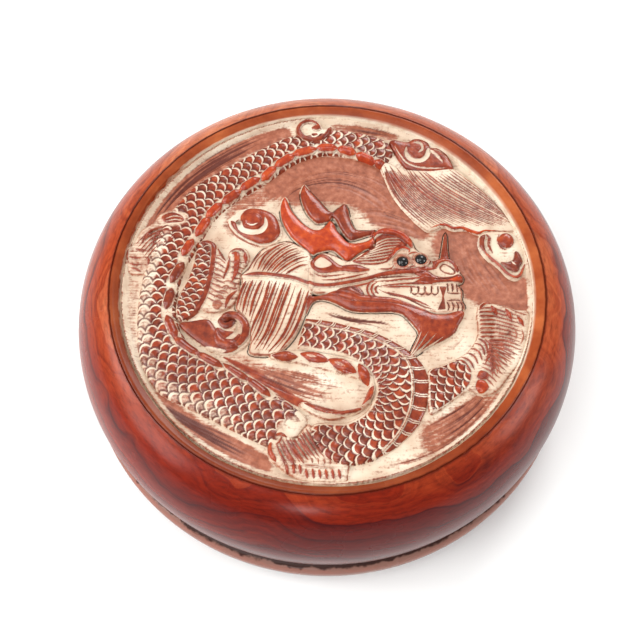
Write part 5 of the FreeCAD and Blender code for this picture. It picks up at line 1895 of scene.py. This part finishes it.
# %% [markdown]
# The largest bare places are above the head, before the nose and along the rim at the left. The
# streaks follow the way the carver's hand went round the figures.
# %% Wear on the ground
for places, wide, amount in (
    ([(-7, 27), (2, 27.5), (10, 25), (15, 20)], 17, 0.95),
    ([(-13, 25), (-19, 19), (-20, 15)], 7, 0.55),
    ([(14, 17.5), (20, 14.5)], 6, 0.9),
    ([(28, 11), (30, 6), (34, 1.5), (39, -1)], 14, 1.0),
    ([(-39, 15), (-34, 22), (-27, 29), (-19, 35.5), (-11, 39)], 6.5, 0.7),
    ([(-35, -26.5), (-27, -32), (-20, -36), (-13, -39.5)], 7, 0.85),
    ([(-19, -17), (-14, -19.5), (-9, -21.5)], 5, 0.3),
    ([(22, -33), (28, -29), (33, -25)], 9, 0.45),
    ([(2, 41.4), (9, 40.4), (14, 39.2)], 4, 0.5),
    ([(-41.5, 0), (-41.5, -8), (-40, -14)], 4, 0.3),
):
    wash(ground, places, wide, amount)
for first, second, count, seed, dark in (
    (
        [(-15, 21), (-8, 27), (2, 30), (12, 27), (17, 20)],
        [(-12, 17), (-6, 24), (3, 25), (10, 21), (15, 15)], 90, 21, (0.2, 0.9)
    ),
    (
        [(3, 19.5), (11, 20), (18, 17), (22.5, 12.5)], [(5, 15.5), (11, 16), (17, 14.5), (21, 11.5)],
        40, 22, (0.4, 1)
    ),
    (
        [(-41, 9), (-37.5, 19), (-30, 30), (-19, 38), (-8, 42.4)],
        [(-39, 12), (-34, 21), (-27, 28), (-16, 35.5), (-8, 39)], 110, 23, (0.2, 0.9)
    ),
    (
        [(-37.4, -23), (-32, -28.4), (-22, -35), (-10, -41.5)],
        [(-35, -25), (-28, -29.4), (-19, -33.5), (-11, -37)], 90, 24, (0.4, 1)
    ),
    (
        [(-18, -16.5), (-9, -18.6), (0, -20.6), (7, -22)],
        [(-18, -19), (-10, -23), (-3, -26), (5, -27)], 70, 25, (0.2, 0.7)
    ),
    (
        [(20, -31), (27, -26.6), (33, -22)], [(7, -41), (20, -37.5), (31, -29.5), (38, -19)], 110, 26,
        (0.1, 0.45)
    ),
    ([(28, 13), (29, 5), (32, 0), (33, -2)], [(33, 9), (36, 5), (38, 2), (40, -2)], 60, 27, (0.1, 0.6)),
    ([(20, -16.6), (26, -14), (30, -10)], [(20, -12), (25, -9.8), (30, -3)], 40, 28, (0.05, 0.3)),
    (
        [(-3, -4), (4, -6.8), (12, -7.8), (17, -10)], [(-2.5, -6), (4, -7.6), (11, -9), (16, -12)], 40,
        29, (0.05, 0.35)
    ),
    ([(0, 43), (10, 41.5), (20, 38)], [(1, 41), (9, 39.8), (14, 38.4)], 40, 30, (0.1, 0.6)),
):
    combed(ground, first, second, count, seed, dark)
# Painted shade: beside the body's inner edge the ground is left bare and brown in a shallow cut,
# standing for the body's shade.
ground.stroke(
    [
        (-21.4, -16.2), (-15.4, -19.5), (-10.4, -22.8), (-5.8, -25.9), (-1, -27.8), (5, -28.4),
        (8.6, -26.6)
    ],
    2.4, -0.12, cream=0.0, orange=0.2, gloss=0.5,
)
print("pigment left on the ground:", round(float(ground.cream.mean()), 2))
# %% [markdown]
# Pigment gathers against the figures and the rim, where a cloth doesn't reach, and the ground rises
# a little to the wall of the panel.
# %% Edges of the ground
RIM_RISE = 1.25
from_centre = np.hypot(ground.x, ground.y)
by_rim = eased(from_centre, 41.9, 42.6)
by_figures = np.clip(averaged(ground.hidden.astype(float), 5) * 3.2, 0, 1)
ground.cream = np.clip(ground.cream, 0.0, 1.0)
ground.cream += (0.95 - ground.cream) * np.maximum(
    0.75 * by_figures * (1 - 2 * ground.gloss), 0.9 * by_rim
)
ground.orange[:] = 0.45
ground.height += RIM_RISE * eased(from_centre, 42.0, PANEL_EDGE + 0.3) * (ground.inset > 0)
carve(ground, carved)
# %% [markdown]
# The stone, the stick of ink and the two beads keep the CAD model's meshes, which are exact. They
# only need their finishes.
# %% Stone, stick and beads
DRESSED = (("inkstone", slate), ("ink_stick", ink), ("left_eye", glass), ("right_eye", glass))
for node, material in DRESSED:
    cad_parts[node].data.materials.clear()
    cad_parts[node].data.materials.append(material)
print(len(DRESSED), "CAD pieces got a finish")
